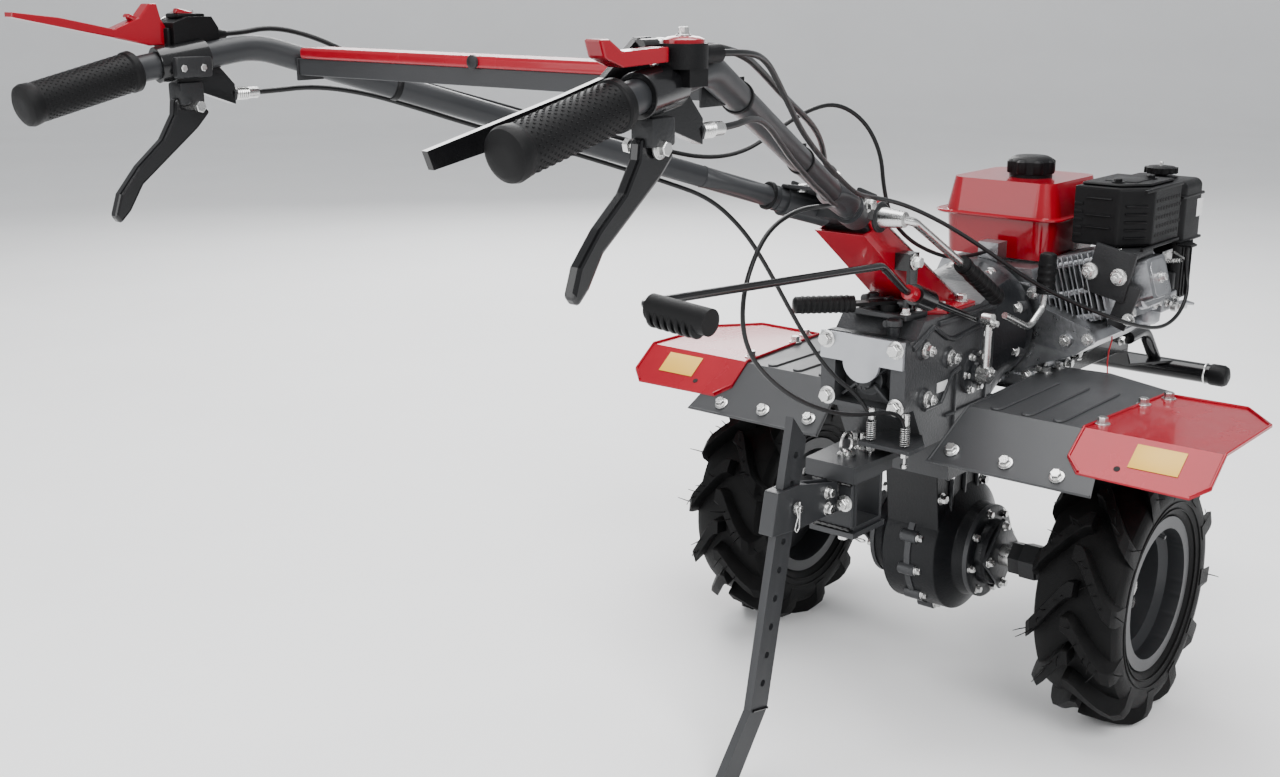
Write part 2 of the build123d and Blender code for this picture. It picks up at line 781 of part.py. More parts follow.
def hub_arm():
    """Cast arm of the hub that holds one bar."""
    a = Vector(AX + BAR_START[0], BAR_START[1], BAR_START[2])
    b = Vector(AX + BAR_PATH[0][0], BAR_PATH[0][1], BAR_PATH[0][2])
    with BuildPart() as piece:
        with BuildSketch(Plane(a, z_dir=b - a)):
            Circle(21)
        extrude(amount=(b - a).length - 12)
        with BuildSketch(Plane(b, z_dir=a - b)):
            Circle(17)
        extrude(amount=20)
    return piece.part


LEFT_ARM = hub_arm()
with BuildPart() as handlebar_hub:
    with BuildSketch(side_plane(HALF_WEB - COLUMN_T - 0.5)):
        with Locations((PIVOT_X, PIVOT_Z)):
            Circle(26)
        Polygon((PIVOT_X + 10, 780), (-350, 792), (-362, 760), (PIVOT_X - 18, 742), align=None)
    extrude(amount=WEB_W - 2 * COLUMN_T - 1)
    add(LEFT_ARM)
    add(mirror(LEFT_ARM, about=Plane.XZ, mode=Mode.PRIVATE))
    add(BAR_SEATS, mode=Mode.SUBTRACT)
    with BuildSketch(Plane((AX - 402, -40, 816), z_dir=(56, 16, -30))):
        Circle(8)
    extrude(amount=42)
    with BuildSketch(side_plane(60)):
        with Locations((PIVOT_X, PIVOT_Z)):
            Circle(PIN_R + PIN_GAP)
    extrude(amount=120, mode=Mode.SUBTRACT)
keep(handlebar_hub.part, "handlebar_hub")


def grip():
    with BuildPart() as piece:
        with BuildSketch(Plane((AX - 1172, GRIP_Y, 976.4), z_dir=GRIP_AXIS)):
            Circle(GRIP_R)
        extrude(amount=129)
        add(BAR_SEATS, mode=Mode.SUBTRACT)
    return piece.part


def clutch_lever():
    with BuildPart() as piece:
        with BuildSketch(side_plane(316)):
            Polygon(
                (-1113, 950), (-1138, 946), (-1140, 930), (-1156, 905), (-1187, 880),
                (-1211, 853), (-1219, 830), (-1213, 822), (-1200, 834), (-1183, 860),
                (-1151, 884), (-1111, 914), (-1095, 930), align=None,
            )
        extrude(amount=-12)
    return piece.part


def lever_bracket():
    """Clamp on the bar that carries the clutch lever and the cable stop."""
    with BuildPart() as piece:
        with BuildSketch(Plane((AX - 1120, 327, 984.5), z_dir=(-135, 22, -18))):
            Circle(19)
        extrude(amount=28, both=True)
        with BuildSketch(side_plane(330)):
            Polygon((-1132, 985), (-1085, 985), (-1060, 958), (-1060, 936), (-1100, 950), (-1132, 951.5),
                    align=None)
        extrude(amount=12)
        add(BAR_SEATS, mode=Mode.SUBTRACT)
    return piece.part


LEFT_BRACKET = lever_bracket()
RIGHT_BRACKET = mirror(LEFT_BRACKET, about=Plane.XZ)
keep_pair(left_tube.part, "handlebar_tubes")
keep_pair(grip(), "handle_grips")
keep_pair(clutch_lever(), "clutch_levers")
keep_pair(LEFT_BRACKET, "lever_brackets")

with BuildPart() as crossbar:
    with BuildSketch(side_plane(300)):
        with Locations((CROSS_X, CROSS_Z - 11)):
            Rectangle(32, 18)
    extrude(amount=600)
    add(BAR_SEATS, mode=Mode.SUBTRACT)
    split(bisect_by=Plane.XZ.offset(280), keep=Keep.BOTTOM)
    split(bisect_by=Plane.XZ.offset(-280), keep=Keep.TOP)
keep(crossbar.part, "crossbar")
with BuildPart() as crossbar_cover:
    with BuildSketch(side_plane(272)):
        with Locations((CROSS_X, CROSS_Z + 4)):
            RectangleRounded(40, 12, 4)
    extrude(amount=544)
keep(crossbar_cover.part, "crossbar_cover")

with BuildPart() as switch_block:
    with BuildSketch(side_plane(362)):
        Polygon((-1128, 978), (-1128, 1024), (-1110, 1030), (-1080, 1030), (-1072, 1018), (-1072, 976),
                align=None)
    extrude(amount=38)
    add(BAR_SEATS, mode=Mode.SUBTRACT)
    add(LEFT_BRACKET, mode=Mode.SUBTRACT)
keep(switch_block.part, "switch_block")

with BuildPart() as safety_lever:
    with BuildSketch(side_plane(352)):
        Polygon(
            (-1299, 1038), (-1250, 1032), (-1190, 1019), (-1160, 1030), (-1147, 1044), (-1138, 1044),
            (-1134, 1028), (-1129, 1020), (-1129, 1001), (-1150, 1001), (-1190, 1010), (-1299, 1033),
            align=None,
        )
    extrude(amount=16)
keep(safety_lever.part, "safety_lever")

with BuildPart() as throttle_housing:
    with BuildSketch(Plane((AX - 1092, -334, 1000), z_dir=(0, 0, 1))):
        Circle(20)
    extrude(amount=20)
    with BuildSketch(Plane((AX - 1075, -330, 1010), z_dir=(1, 0, 0))):
        Circle(8)
    extrude(amount=34)
    with BuildSketch(Plane((AX - 1092, -334, 986), z_dir=(0, 0, 1))):
        Rectangle(24, 32)
    extrude(amount=16)
    add(BAR_SEATS, mode=Mode.SUBTRACT)
    add(RIGHT_BRACKET, mode=Mode.SUBTRACT)
keep(throttle_housing.part, "throttle_housing")
with BuildPart() as throttle_lever:
    with BuildSketch(side_plane(-320)):
        Polygon(
            (-1197, 1026), (-1186, 1026), (-1170, 1016), (-1114.2, 1018), (-1114.2, 1006),
            (-1170, 1004), (-1192, 1012), align=None,
        )
    extrude(amount=18)
keep(throttle_lever.part, "throttle_lever")
with BuildPart() as steering_lever:
    with BuildSketch(side_plane(-294)):
        Polygon(
            (-1340, 952), (-1334, 938), (-1200, 960), (-1150, 968), (-1100, 980), (-1092, 1006),
            (-1092, 1024), (-1108, 1024), (-1150, 994), (-1200, 982), align=None,
        )
    extrude(amount=6)
    with BuildSketch(Plane((AX - 1112, -304, 1016), z_dir=(1, 0, 0))):
        Circle(7)
    extrude(amount=20)
    add(BAR_SEATS, mode=Mode.SUBTRACT)
    add(RIGHT_BRACKET, mode=Mode.SUBTRACT)
keep(steering_lever.part, "steering_lever")

# ---------------------------------------------------------------- cables
# Each cable is straight runs joined by arcs that are as large as the runs allow.


def cable(name, points, radius=CABLE_R):
    radii = []
    for before, here, after in zip(points, points[1:], points[2:]):
        a = Vector(*here) - Vector(*before)
        b = Vector(*after) - Vector(*here)
        turn = radians(a.get_angle(b))
        radii.append(round(0.45 * min(a.length, b.length) / tan(turn / 2), 1))
    with BuildPart() as piece:
        with BuildLine(TOP) as route:
            FilletPolyline(*points, radius=radii)
        with BuildSketch(Plane(route.line @ 0, z_dir=route.line % 0)):
            Circle(radius)
        sweep(path=route.line)
    total = sum(edge.length for edge in route.edges())
    print(name, "length", round(total), "arc radii", radii)
    print("  volume", round(piece.part.volume), "section x length", round(pi * radius**2 * total))
    keep(piece.part, name)


cable(
    "left_clutch_cable",
    [
        (-1060, 324, 947),
        (-1012, 324, 947),
        (-960, 309, 951),
        (-905, 284, 941),
        (-850, 259, 922),
        (-795, 237, 902),
        (-735, 213, 882),
        (-670, 187, 861),
        (-605, 160, 838),
        (-545, 128, 815),
        (-495, 94, 792),
        (-458, 66, 748),
        (-424, 52, 696),
        (-390, 41, 640),
        (-352, 30, 582),
        (-318, 12, 532),
        (-286, -12, 500),
        (-270, -26, 466),
        (-270, -26, CABLE_END_Z),
    ],
)
cable(
    "right_clutch_cable",
    [
        (-1060, -324, 947),
        (-1012, -324, 947),
        (-960, -309, 951),
        (-900, -282, 938),
        (-845, -256, 918),
        (-785, -230, 893),
        (-720, -202, 870),
        (-655, -172, 848),
        (-598, -150, 829),
        (-548, -127, 812),
        (-512, -113, 804),
        (-498, -85, 799),
        (-511, -54, 793),
        (-554, -45, 776),
        (-590, -47, 746),
        (-614, -49, 706),
        (-618, -50, 664),
        (-604, -52, 626),
        (-571, -54, 592),
        (-524, -58, 558),
        (-468, -62, 530),
        (-408, -68, 508),
        (-348, -76, 498),
        (-296, -80, 490),
        (-268, -80, 466),
        (-268, -80, CABLE_END_Z),
    ],
)
cable(
    "throttle_cable",
    [
        (-1041, -330, 1010),
        (-1000, -330, 1010),
        (-950, -314, 1001),
        (-895, -290, 976),
        (-838, -264, 949),
        (-780, -238, 922),
        (-715, -210, 897),
        (-640, -178, 871),
        (-560, -147, 842),
        (-480, -120, 814),
        (-400, -92, 800),
        (-325, -90, 784),
        (-250, -100, 756),
        (-180, -114, 722),
        (-115, -132, 684),
        (-60, -158, 646),
        (0, -194, 612),
        (60, -226, 585),
        (120, -248, 563),
        (180, -260, 552),
        (235, -264, 564),
        (276, -260, 594),
        (286, -248, 629),
        (286, -248, 663),
    ],
)
cable(
    "steering_cable",
    [
        (-1092, -304, 1016),
        (-1048, -304, 1016),
        (-1000, -300, 1013),
        (-948, -290, 1003),
        (-892, -268, 986),
        (-830, -243, 965),
        (-765, -216, 945),
        (-700, -188, 927),
        (-635, -158, 908),
        (-570, -124, 886),
        (-510, -90, 860),
        (-458, -56, 846),
        (-402, -40, 816),
    ],
    3.5,
)
cable(
    "switch_wire",
    [
        (-1072, 345, 1010),
        (-1034, 345, 1010),
        (-992, 340, 1017),
        (-948, 322, 1006),
        (-905, 298, 982),
        (-860, 272, 957),
        (-800, 248, 938),
        (-735, 220, 917),
        (-670, 194, 896),
        (-605, 166, 876),
        (-545, 138, 856),
        (-490, 106, 842),
        (-440, 80, 848),
        (-398, 58, 876),
        (-350, 42, 900),
        (-296, 32, 906),
        (-250, 16, 880),
        (-224, 4, 834),
        (-220, 0, 784),
        (-196, 0, 738),
        (-150, -2, 704),
        (-95, -4, 680),
        (-38, -8, 662),
        (16, -10, 656),
        (84, -10, 656),
    ],
)
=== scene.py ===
"""Looks of the walk-behind tractor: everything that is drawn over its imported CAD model."""

import json
import math
import random

import bmesh
import bpy
from mathutils import Matrix, Vector


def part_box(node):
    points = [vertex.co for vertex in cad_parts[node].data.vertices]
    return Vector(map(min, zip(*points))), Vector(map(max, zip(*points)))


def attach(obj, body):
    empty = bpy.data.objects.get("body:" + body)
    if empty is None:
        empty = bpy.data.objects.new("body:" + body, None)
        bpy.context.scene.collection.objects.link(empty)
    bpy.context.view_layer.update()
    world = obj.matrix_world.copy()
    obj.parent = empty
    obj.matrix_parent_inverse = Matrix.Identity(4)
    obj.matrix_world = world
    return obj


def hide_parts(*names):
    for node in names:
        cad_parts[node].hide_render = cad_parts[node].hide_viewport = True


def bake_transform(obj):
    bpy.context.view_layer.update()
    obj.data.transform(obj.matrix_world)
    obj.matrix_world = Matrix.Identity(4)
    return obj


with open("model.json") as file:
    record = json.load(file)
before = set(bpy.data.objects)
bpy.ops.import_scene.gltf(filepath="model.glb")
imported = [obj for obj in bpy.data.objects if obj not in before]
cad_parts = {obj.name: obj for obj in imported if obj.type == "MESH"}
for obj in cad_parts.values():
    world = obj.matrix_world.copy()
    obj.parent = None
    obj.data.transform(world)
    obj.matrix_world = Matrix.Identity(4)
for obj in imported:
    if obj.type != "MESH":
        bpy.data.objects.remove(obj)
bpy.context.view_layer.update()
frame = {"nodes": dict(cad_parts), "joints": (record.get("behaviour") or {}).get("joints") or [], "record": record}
random.seed(7)

# Lengths are in millimetres and x is measured from the wheel axle, as on the machine's
# own drawing; at() turns them into metres in the shared frame.
MM = 0.001
JOINTS = {joint["name"]: joint for joint in frame["joints"]}
AXLE_X = JOINTS["left_wheel_spin"]["pos_m"][0] / MM
HUB_Z = JOINTS["left_wheel_spin"]["pos_m"][2] / MM
PIVOT = Vector(JOINTS["handlebar_height"]["pos_m"]) / MM - Vector((AXLE_X, 0, 0))
FORWARD, LEFT, UP = Vector((1, 0, 0)), Vector((0, 1, 0)), Vector((0, 0, 1))


def at(x, y, z):
    return Vector(((AXLE_X + x) * MM, y * MM, z * MM))


def span(node):
    """Low and high corners of a CAD node in millimetres, x from the axle."""
    shift = Vector((AXLE_X, 0, 0))
    return [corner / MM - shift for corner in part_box(node)]


# ---------------------------------------------------------------- camera
CAMERA_AT = at(-2074, -1115, 1072)
CAMERA_YAW = math.radians(40.096)
CAMERA_PITCH = math.radians(15.134)
camera = bpy.data.objects.new("camera", bpy.data.cameras.new("camera"))
bpy.context.scene.collection.objects.link(camera)
camera.location = CAMERA_AT
camera.rotation_euler = Vector(
    (
        math.cos(CAMERA_YAW) * math.cos(CAMERA_PITCH),
        math.sin(CAMERA_YAW) * math.cos(CAMERA_PITCH),
        -math.sin(CAMERA_PITCH),
    )
).to_track_quat("-Z", "Y").to_euler()
camera.data.lens = 42.914
camera.data.sensor_width = 36
camera.data.clip_end = 60
bpy.context.scene.camera = camera


# ---------------------------------------------------------------- materials
def look(
    name, color, rough=0.4, metallic=0.0, spread=0.12, blotch=9.0, grain=420.0, depth=0.12,
    coat=0.0, dust=0.0, wear=0.0, shine=0.5,
):
    """Procedural surface: uneven colour and gloss, fine grain, worn edges and dust on top faces."""
    made = bpy.data.materials.new(name)
    made.use_nodes = True
    tree = made.node_tree
    shader = tree.nodes["Principled BSDF"]

    def node(kind, **inputs):
        new = tree.nodes.new(kind)
        for key, value in inputs.items():
            new.inputs[key].default_value = value
        return new

    place = tree.nodes.new("ShaderNodeTexCoord")
    uneven = node("ShaderNodeTexNoise", Scale=blotch, Detail=7.0, Roughness=0.62)
    fine = node("ShaderNodeTexNoise", Scale=grain, Detail=3.0, Roughness=0.55)
    for texture in (uneven, fine):
        tree.links.new(place.outputs["Object"], texture.inputs["Vector"])

    def mixed(factor, low, high):
        mix = tree.nodes.new("ShaderNodeMix")
        mix.data_type = "RGBA"
        for socket, value in ((6, low), (7, high)):
            if isinstance(value, bpy.types.NodeSocket):
                tree.links.new(value, mix.inputs[socket])
            else:
                mix.inputs[socket].default_value = (*value, 1)
        tree.links.new(factor, mix.inputs[0])
        return mix.outputs[2]

    def ramp(source, low, high, to_low=0.0, to_high=1.0):
        new = tree.nodes.new("ShaderNodeMapRange")
        new.inputs[1].default_value = low
        new.inputs[2].default_value = high
        new.inputs[3].default_value = to_low
        new.inputs[4].default_value = to_high
        tree.links.new(source, new.inputs[0])
        return new.outputs[0]

    dark = [c * (1 - spread) for c in color]
    light = [min(1, c * (1 + spread)) for c in color]
    paint = mixed(ramp(uneven.outputs["Fac"], 0.3, 0.7), dark, light)
    geometry = tree.nodes.new("ShaderNodeNewGeometry")
    if wear:
        edge = ramp(geometry.outputs["Pointiness"], 0.52, 0.6, 0, wear)
        paint = mixed(edge, paint, [min(1, 0.12 + c * 1.8) for c in color])
    if dust:
        split = tree.nodes.new("ShaderNodeSeparateXYZ")
        tree.links.new(geometry.outputs["Normal"], split.inputs[0])
        upward = ramp(split.outputs["Z"], 0.2, 1.0)
        patch = tree.nodes.new("ShaderNodeMath")
        patch.operation = "MULTIPLY"
        tree.links.new(upward, patch.inputs[0])
        tree.links.new(ramp(uneven.outputs["Fac"], 0.4, 0.7, 0, dust), patch.inputs[1])
        paint = mixed(patch.outputs[0], paint, (0.33, 0.31, 0.28))
    tree.links.new(paint, shader.inputs["Base Color"])
    gloss = ramp(uneven.outputs["Fac"], 0.25, 0.75, max(0.03, rough - 0.07), min(1, rough + 0.09))
    tree.links.new(gloss, shader.inputs["Roughness"])
    bump = node("ShaderNodeBump", Strength=depth, Distance=0.001)
    tree.links.new(fine.outputs["Fac"], bump.inputs["Height"])
    tree.links.new(bump.outputs["Normal"], shader.inputs["Normal"])
    shader.inputs["Metallic"].default_value = metallic
    shader.inputs["Coat Weight"].default_value = coat
    shader.inputs["Coat Roughness"].default_value = 0.06
    shader.inputs["Specular IOR Level"].default_value = shine
    return made


SURFACE = {
    "black_cast": look("black_cast", (0.006, 0.0064, 0.0075), 0.36, 0.1, 0.25, 14, 260, 0.55,
            wear=0.2, shine=0.2),
    "graphite": look("graphite", (0.02, 0.021, 0.023), 0.38, 0.15, 0.12, 7, 900, 0.16, wear=0.15,
            shine=0.35),
    "gear_cast": look("gear_cast", (0.011, 0.012, 0.014), 0.33, 0.2, 0.25, 13, 240, 0.6, wear=0.25,
            shine=0.35),
    "black_paint": look("black_paint", (0.005, 0.005, 0.0055), 0.2, 0.0, 0.2, 8, 500, 0.08, 0.3, shine=0.3),
    "red_paint": look("red_paint", (0.29, 0.001, 0.011), 0.24, 0.1, 0.1, 6, 700, 0.07, 0.3, shine=0.2),
    "raw_alu": look("raw_alu", (0.24, 0.245, 0.255), 0.3, 0.92, 0.4, 26, 300, 0.55, wear=0.4),
    "black_plastic": look("black_plastic", (0.004, 0.004, 0.0044), 0.4, 0.0, 0.2, 10, 1100, 0.4, shine=0.15),
    "red_plastic": look("red_plastic", (0.25, 0.001, 0.009), 0.16, 0.0, 0.07, 5, 600, 0.03, 0.4, shine=0.3),
    "white_plate": look("white_plate", (0.4, 0.41, 0.43), 0.3, 0.6, 0.1, 9, 500, 0.12),
    "steel": look("steel", (0.62, 0.62, 0.61), 0.26, 1.0, 0.14, 30, 700, 0.15),
    "grip_rubber": look("grip_rubber", (0.005, 0.005, 0.0054), 0.5, 0.0, 0.2, 18, 1300, 0.35, shine=0.15),
    "tyre_rubber": look("tyre_rubber", (0.0035, 0.0035, 0.0037), 0.5, 0.0, 0.3, 16, 640, 0.6,
            dust=0.02, shine=0.12),
    "cable_jacket": look("cable_jacket", (0.005, 0.005, 0.0055), 0.34, 0.0, 0.2, 20, 900, 0.1, shine=0.3),
}
YELLOW = look("label_yellow", (0.72, 0.42, 0.05), 0.4, 0.0, 0.05, 6, 800, 0.03)
WHITE = look("label_white", (0.72, 0.72, 0.72), 0.4, 0.0, 0.04, 6, 800, 0.03)
# Painted shade: near-black surface for discs that stand for the dark insides of holes.
PAINTED_HOLE_SHADE = look("deep_shadow", (0.003, 0.003, 0.003), 0.8, 0.0, 0.1, 9, 300, 0.1)
CORD_RED = look("cord_red", (0.45, 0.01, 0.02), 0.6, 0.0, 0.1, 9, 900, 0.2)

# Flat-sided castings and sheets get small edge roundings, in millimetres.
EDGE = {
    "gearbox_case": 3.0, "final_drive_case": 2.5, "engine_block": 3.5, "cylinder": 1.5, "head_cover": 2.5,
    "fan_housing": 3.0, "muffler_guard": 4.0, "air_cleaner": 1.5, "carburettor": 1.0, "engine_frame": 0.8,
    "handlebar_column": 1.2, "hitch_bracket": 1.2, "stake_holder": 1.5, "parking_stake": 1.5,
    "pto_cover": 1.0, "handlebar_hub": 2.0, "crossbar": 1.5, "crossbar_cover": 1.5, "clutch_levers": 3.0,
    "lever_brackets": 1.5, "switch_block": 3.0, "safety_lever": 1.5, "throttle_lever": 2.0,
    "steering_lever": 1.0, "shift_guide": 1.5, "front_bumper": 0.8, "throttle_housing": 1.5,
}
for part in frame["record"]["subparts"]:
    node = frame["nodes"][part["node"]]
    node.data.materials.clear()
    node.data.materials.append(SURFACE[part["material_slot"]])
    if part["node"] in EDGE:
        weld = node.modifiers.new("weld", "WELD")
        weld.merge_threshold = 1e-5
        rounding = node.modifiers.new("rounding", "BEVEL")
        rounding.width = EDGE[part["node"]] * MM
        rounding.segments = 2
        rounding.limit_method = "ANGLE"
        rounding.angle_limit = math.radians(32)
        rounding.use_clamp_overlap = True
        rounding.harden_normals = False
        smooth = node.modifiers.new("smooth", "WEIGHTED_NORMAL")
        smooth.keep_sharp = True


# ---------------------------------------------------------------- mesh tools
class Shape:
    """One mesh put together from simple solids; points are in metres, sizes in millimetres."""

    def __init__(self):
        self.bm = bmesh.new()

    def skin(self, rings, ends=True, loop=False):
        rows = [[self.bm.verts.new(p) for p in ring] for ring in rings]
        count = len(rows[0])
        pairs = list(zip(rows, rows[1:]))
        if loop:
            pairs.append((rows[-1], rows[0]))
        for a, b in pairs:
            for i in range(count):
                j = (i + 1) % count
                self.bm.faces.new((a[i], a[j], b[j], b[i]))
        if ends and not loop:
            self.bm.faces.new(rows[0][::-1])
            self.bm.faces.new(rows[-1])

    def lathe(self, origin, direction, profile, sides=28, ends=True):
        """Turned form: profile is (distance along, radius) pairs."""
        along = Vector(direction).normalized()
        across = along.orthogonal().normalized()
        up = along.cross(across)
        rings = []
        for s, r in profile:
            centre = origin + along * s * MM
            rings.append(
                [
                    centre + (across * math.cos(a) + up * math.sin(a)) * max(r, 0.02) * MM
                    for a in (2 * math.pi * i / sides for i in range(sides))
                ]
            )
        self.skin(rings, ends)

    def rod(self, a, b, radius, sides=20, chamfer=0.0):
        length = (b - a).length / MM
        profile = [(0, radius), (length, radius)]
        if chamfer:
            profile = [(0, radius - chamfer), (chamfer, radius), (length - chamfer, radius),
                       (length, radius - chamfer)]
        self.lathe(a, b - a, profile, sides)

    def box(self, centre, size, turn=None, edge=0.0):
        """Box with sides size (mm) along the columns of turn, or along the axes."""
        turn = turn or Matrix.Identity(3)
        scale = Matrix.Diagonal(Vector(size) * MM)
        place = Matrix.Translation(centre) @ (turn @ scale).to_4x4()
        made = bmesh.ops.create_cube(self.bm, size=1, matrix=place)["verts"]
        if edge:
            edges = list({e for v in made for e in v.link_edges})
            bmesh.ops.bevel(self.bm, geom=edges, offset=edge * MM, segments=2, affect="EDGES",
                            profile=0.5, clamp_overlap=True)

    def tube(self, points, radius, sides=10, loop=False, ends=True):
        """Round tube through points; radius is a number or one value for each point."""
        count = len(points)
        radii = radius if isinstance(radius, (list, tuple)) else [radius] * count
        rings = []
        across = None
        for i, p in enumerate(points):
            before = points[i - 1] if i or loop else p
            after = points[(i + 1) % count] if i < count - 1 or loop else p
            along = (after - before).normalized()
            across = (across - along * across.dot(along)) if across else along.orthogonal()
            across.normalize()
            up = along.cross(across)
            rings.append(
                [
                    p + (across * math.cos(a) + up * math.sin(a)) * radii[i] * MM
                    for a in (2 * math.pi * k / sides for k in range(sides))
                ]
            )
        self.skin(rings, ends, loop)

    def hex(self, point, direction, across_flats, height, sides=6, chamfer=0.8):
        r = across_flats / 2 / math.cos(math.pi / 6)
        self.lathe(point, direction, [(0, r), (height - chamfer, r), (height, r - chamfer)], sides)

    def bolt(self, point, direction, size=13.0, washer=True, stud=0.0):
        """Hexagon head with washer, standing on point; stud adds a nut's thread end."""
        d = Vector(direction).normalized()
        if washer:
            self.lathe(point, d, [(0, size * 0.82), (1.6, size * 0.82), (1.9, size * 0.78)], 20)
            self.lathe(point + d * 1.9 * MM, d, [(0, size * 0.62), (1.6, size * 0.62)], 16)
        base = point + d * (3.5 if washer else 0) * MM
        self.hex(base, d, size, size * 0.55)
        if stud:
            self.rod(base, base + d * (size * 0.55 + stud) * MM, size * 0.28, 12, 0.6)

    def plate(self, outline, depth, edge=0.0):
        """Flat plate: outline points and a thickness vector in metres."""
        low = [self.bm.verts.new(p) for p in outline]
        high = [self.bm.verts.new(p + depth) for p in outline]
        count = len(low)
        faces = [self.bm.faces.new(low[::-1]), self.bm.faces.new(high)]
        for i in range(count):
            j = (i + 1) % count
            faces.append(self.bm.faces.new((low[i], low[j], high[j], high[i])))
        if edge:
            edges = list({e for f in faces for e in f.edges})
            bmesh.ops.bevel(self.bm, geom=edges, offset=edge * MM, segments=1, affect="EDGES",
                            clamp_overlap=True)

    def spring(self, a, b, radius, wire, turns):
        """Coil spring between two points."""
        along = b - a
        across = along.orthogonal().normalized()
        up = along.normalized().cross(across)
        steps = int(turns * 12)
        points = []
        for i in range(steps + 1):
            angle = 2 * math.pi * turns * i / steps
            points.append(a
                    + along * i / steps + (across * math.cos(angle) + up * math.sin(angle)) * radius * MM)
        self.tube(points, wire, 6)

    def done(self, name, surface, body, angle=32):
        mesh = bpy.data.meshes.new(name)
        bmesh.ops.recalc_face_normals(self.bm, faces=self.bm.faces)
        self.bm.to_mesh(mesh)
        self.bm.free()
        mesh.shade_smooth()
        mesh.set_sharp_from_angle(angle=math.radians(angle))
        made = bpy.data.objects.new(name, mesh)
        bpy.context.scene.collection.objects.link(made)
        mesh.materials.append(surface)
        if body:
            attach(made, body)
        return made

    def keep(self, name, slot, body="chassis", surface=None, angle=32):
        return self.done(name, surface or SURFACE[slot], body, angle)


def around(axis, degrees):
    """Rotation about one of the axes."""
    return Matrix.Rotation(math.radians(degrees), 3, axis)


# ---------------------------------------------------------------- cables
CABLES = {
    "left_clutch_cable": [
        (-1060, 324, 947), (-1012, 324, 947), (-960, 309, 951), (-905, 284, 941), (-850, 259, 922),
        (-795, 237, 902), (-735, 213, 882), (-670, 187, 861), (-605, 160, 838), (-545, 128, 815),
        (-495, 94, 792), (-458, 66, 748), (-424, 52, 696), (-390, 41, 640), (-352, 30, 582),
        (-318, 12, 532), (-286, -12, 500), (-270, -26, 466), (-270, -26, 432),
    ],
    "right_clutch_cable": [
        (-1060, -324, 947), (-1012, -324, 947), (-960, -309, 951), (-900, -282, 938), (-845, -256, 918),
        (-785, -230, 893), (-720, -202, 870), (-655, -172, 848), (-598, -150, 829), (-548, -127, 812),
        (-512, -113, 804), (-498, -85, 799), (-511, -54, 793), (-554, -45, 776), (-590, -47, 746),
        (-614, -49, 706), (-618, -50, 664), (-604, -52, 626), (-571, -54, 592), (-524, -58, 558),
        (-468, -62, 530), (-408, -68, 508), (-348, -76, 498), (-296, -80, 490), (-268, -80, 466),
        (-268, -80, 432),
    ],
    "throttle_cable": [
        (-1041, -330, 1010), (-1000, -330, 1010), (-950, -314, 1001), (-895, -290, 976), (-838, -264, 949),
        (-780, -238, 922), (-715, -210, 897), (-640, -178, 871), (-560, -147, 842), (-480, -120, 814),
        (-400, -92, 800), (-325, -90, 784), (-250, -100, 756), (-180, -114, 722), (-115, -132, 684),
        (-60, -158, 646), (0, -194, 612), (60, -226, 585), (120, -248, 563), (180, -260, 552),
        (235, -264, 564), (276, -260, 594), (286, -248, 629), (286, -248, 663),
    ],
    "steering_cable": [
        (-1092, -304, 1016), (-1048, -304, 1016), (-1000, -300, 1013), (-948, -290, 1003),
        (-892, -268, 986), (-830, -243, 965), (-765, -216, 945), (-700, -188, 927), (-635, -158, 908),
        (-570, -124, 886), (-510, -90, 860), (-458, -56, 846), (-402, -40, 816),
    ],
    "switch_wire": [
        (-1072, 345, 1010), (-1034, 345, 1010), (-992, 340, 1017), (-948, 322, 1006), (-905, 298, 982),
        (-860, 272, 957), (-800, 248, 938), (-735, 220, 917), (-670, 194, 896), (-605, 166, 876),
        (-545, 138, 856), (-490, 106, 842), (-440, 80, 848), (-398, 58, 876), (-350, 42, 900),
        (-296, 32, 906), (-250, 16, 880), (-224, 4, 834), (-220, 0, 784), (-196, 0, 738),
        (-150, -2, 704), (-95, -4, 680), (-38, -8, 662), (16, -10, 656), (84, -10, 656),
    ],
}
CABLE_R = {"steering_cable": 3.5}
# Points where each cable would start and stop bending with the handlebar; they are read but nothing bends, and
# these cables are not attached to the handlebar.
BENDS = {
    "left_clutch_cable": ((-495, 94, 792), (-300, 0, 515)),
    "right_clutch_cable": ((-560, -50, 780), (-560, -50, 520)),
    "throttle_cable": ((-480, -120, 814), (-60, -158, 646)),
    "switch_wire": ((-490, 106, 842), (-95, -4, 680)),
}


def route(points):
    """Points along the cable's smooth line, read from its NURBS spline."""
    curve = bpy.data.curves.new("route", "CURVE")
    curve.dimensions = "3D"
    spline = curve.splines.new("NURBS")
    spline.points.add(len(points) - 1)
    for knot, point in zip(spline.points, points):
        knot.co = (*at(*point), 1)
    spline.order_u = 3
    spline.use_endpoint_u = True
    spline.resolution_u = 6
    holder = bpy.data.objects.new("route", curve)
    bpy.context.scene.collection.objects.link(holder)
    bpy.context.view_layer.update()
    line = bpy.data.meshes.new_from_object(holder.evaluated_get(bpy.context.evaluated_depsgraph_get()))
    found = [v.co.copy() for v in line.vertices]
    bpy.data.objects.remove(holder)
    bpy.data.curves.remove(curve)
    bpy.data.meshes.remove(line)
    return found


LINES = {name: route(points) for name, points in CABLES.items()}
for name, line in LINES.items():
    shape = Shape()
    shape.tube(line, CABLE_R.get(name, 3.0), 12)
    body = None if name in BENDS else "handlebar"
    sleeve = shape.keep(name + "_sleeve", "cable_jacket", body)
    if name in BENDS:
        start, end = BENDS[name]
        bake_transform(sleeve)
    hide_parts(name)


# ---------------------------------------------------------------- wheels
TYRE_Y, TYRE_HALF, TYRE_R = 304.0, 65.0, 200.0
CARCASS_R = 177.0
LUGS = 12


def polar(side, y, r, angle):
    """Point on a wheel: y from the middle of the tyre outwards, angle in degrees from +X."""
    a = math.radians(angle)
    return at(r * math.cos(a), side * (TYRE_Y + y), HUB_Z + r * math.sin(a))


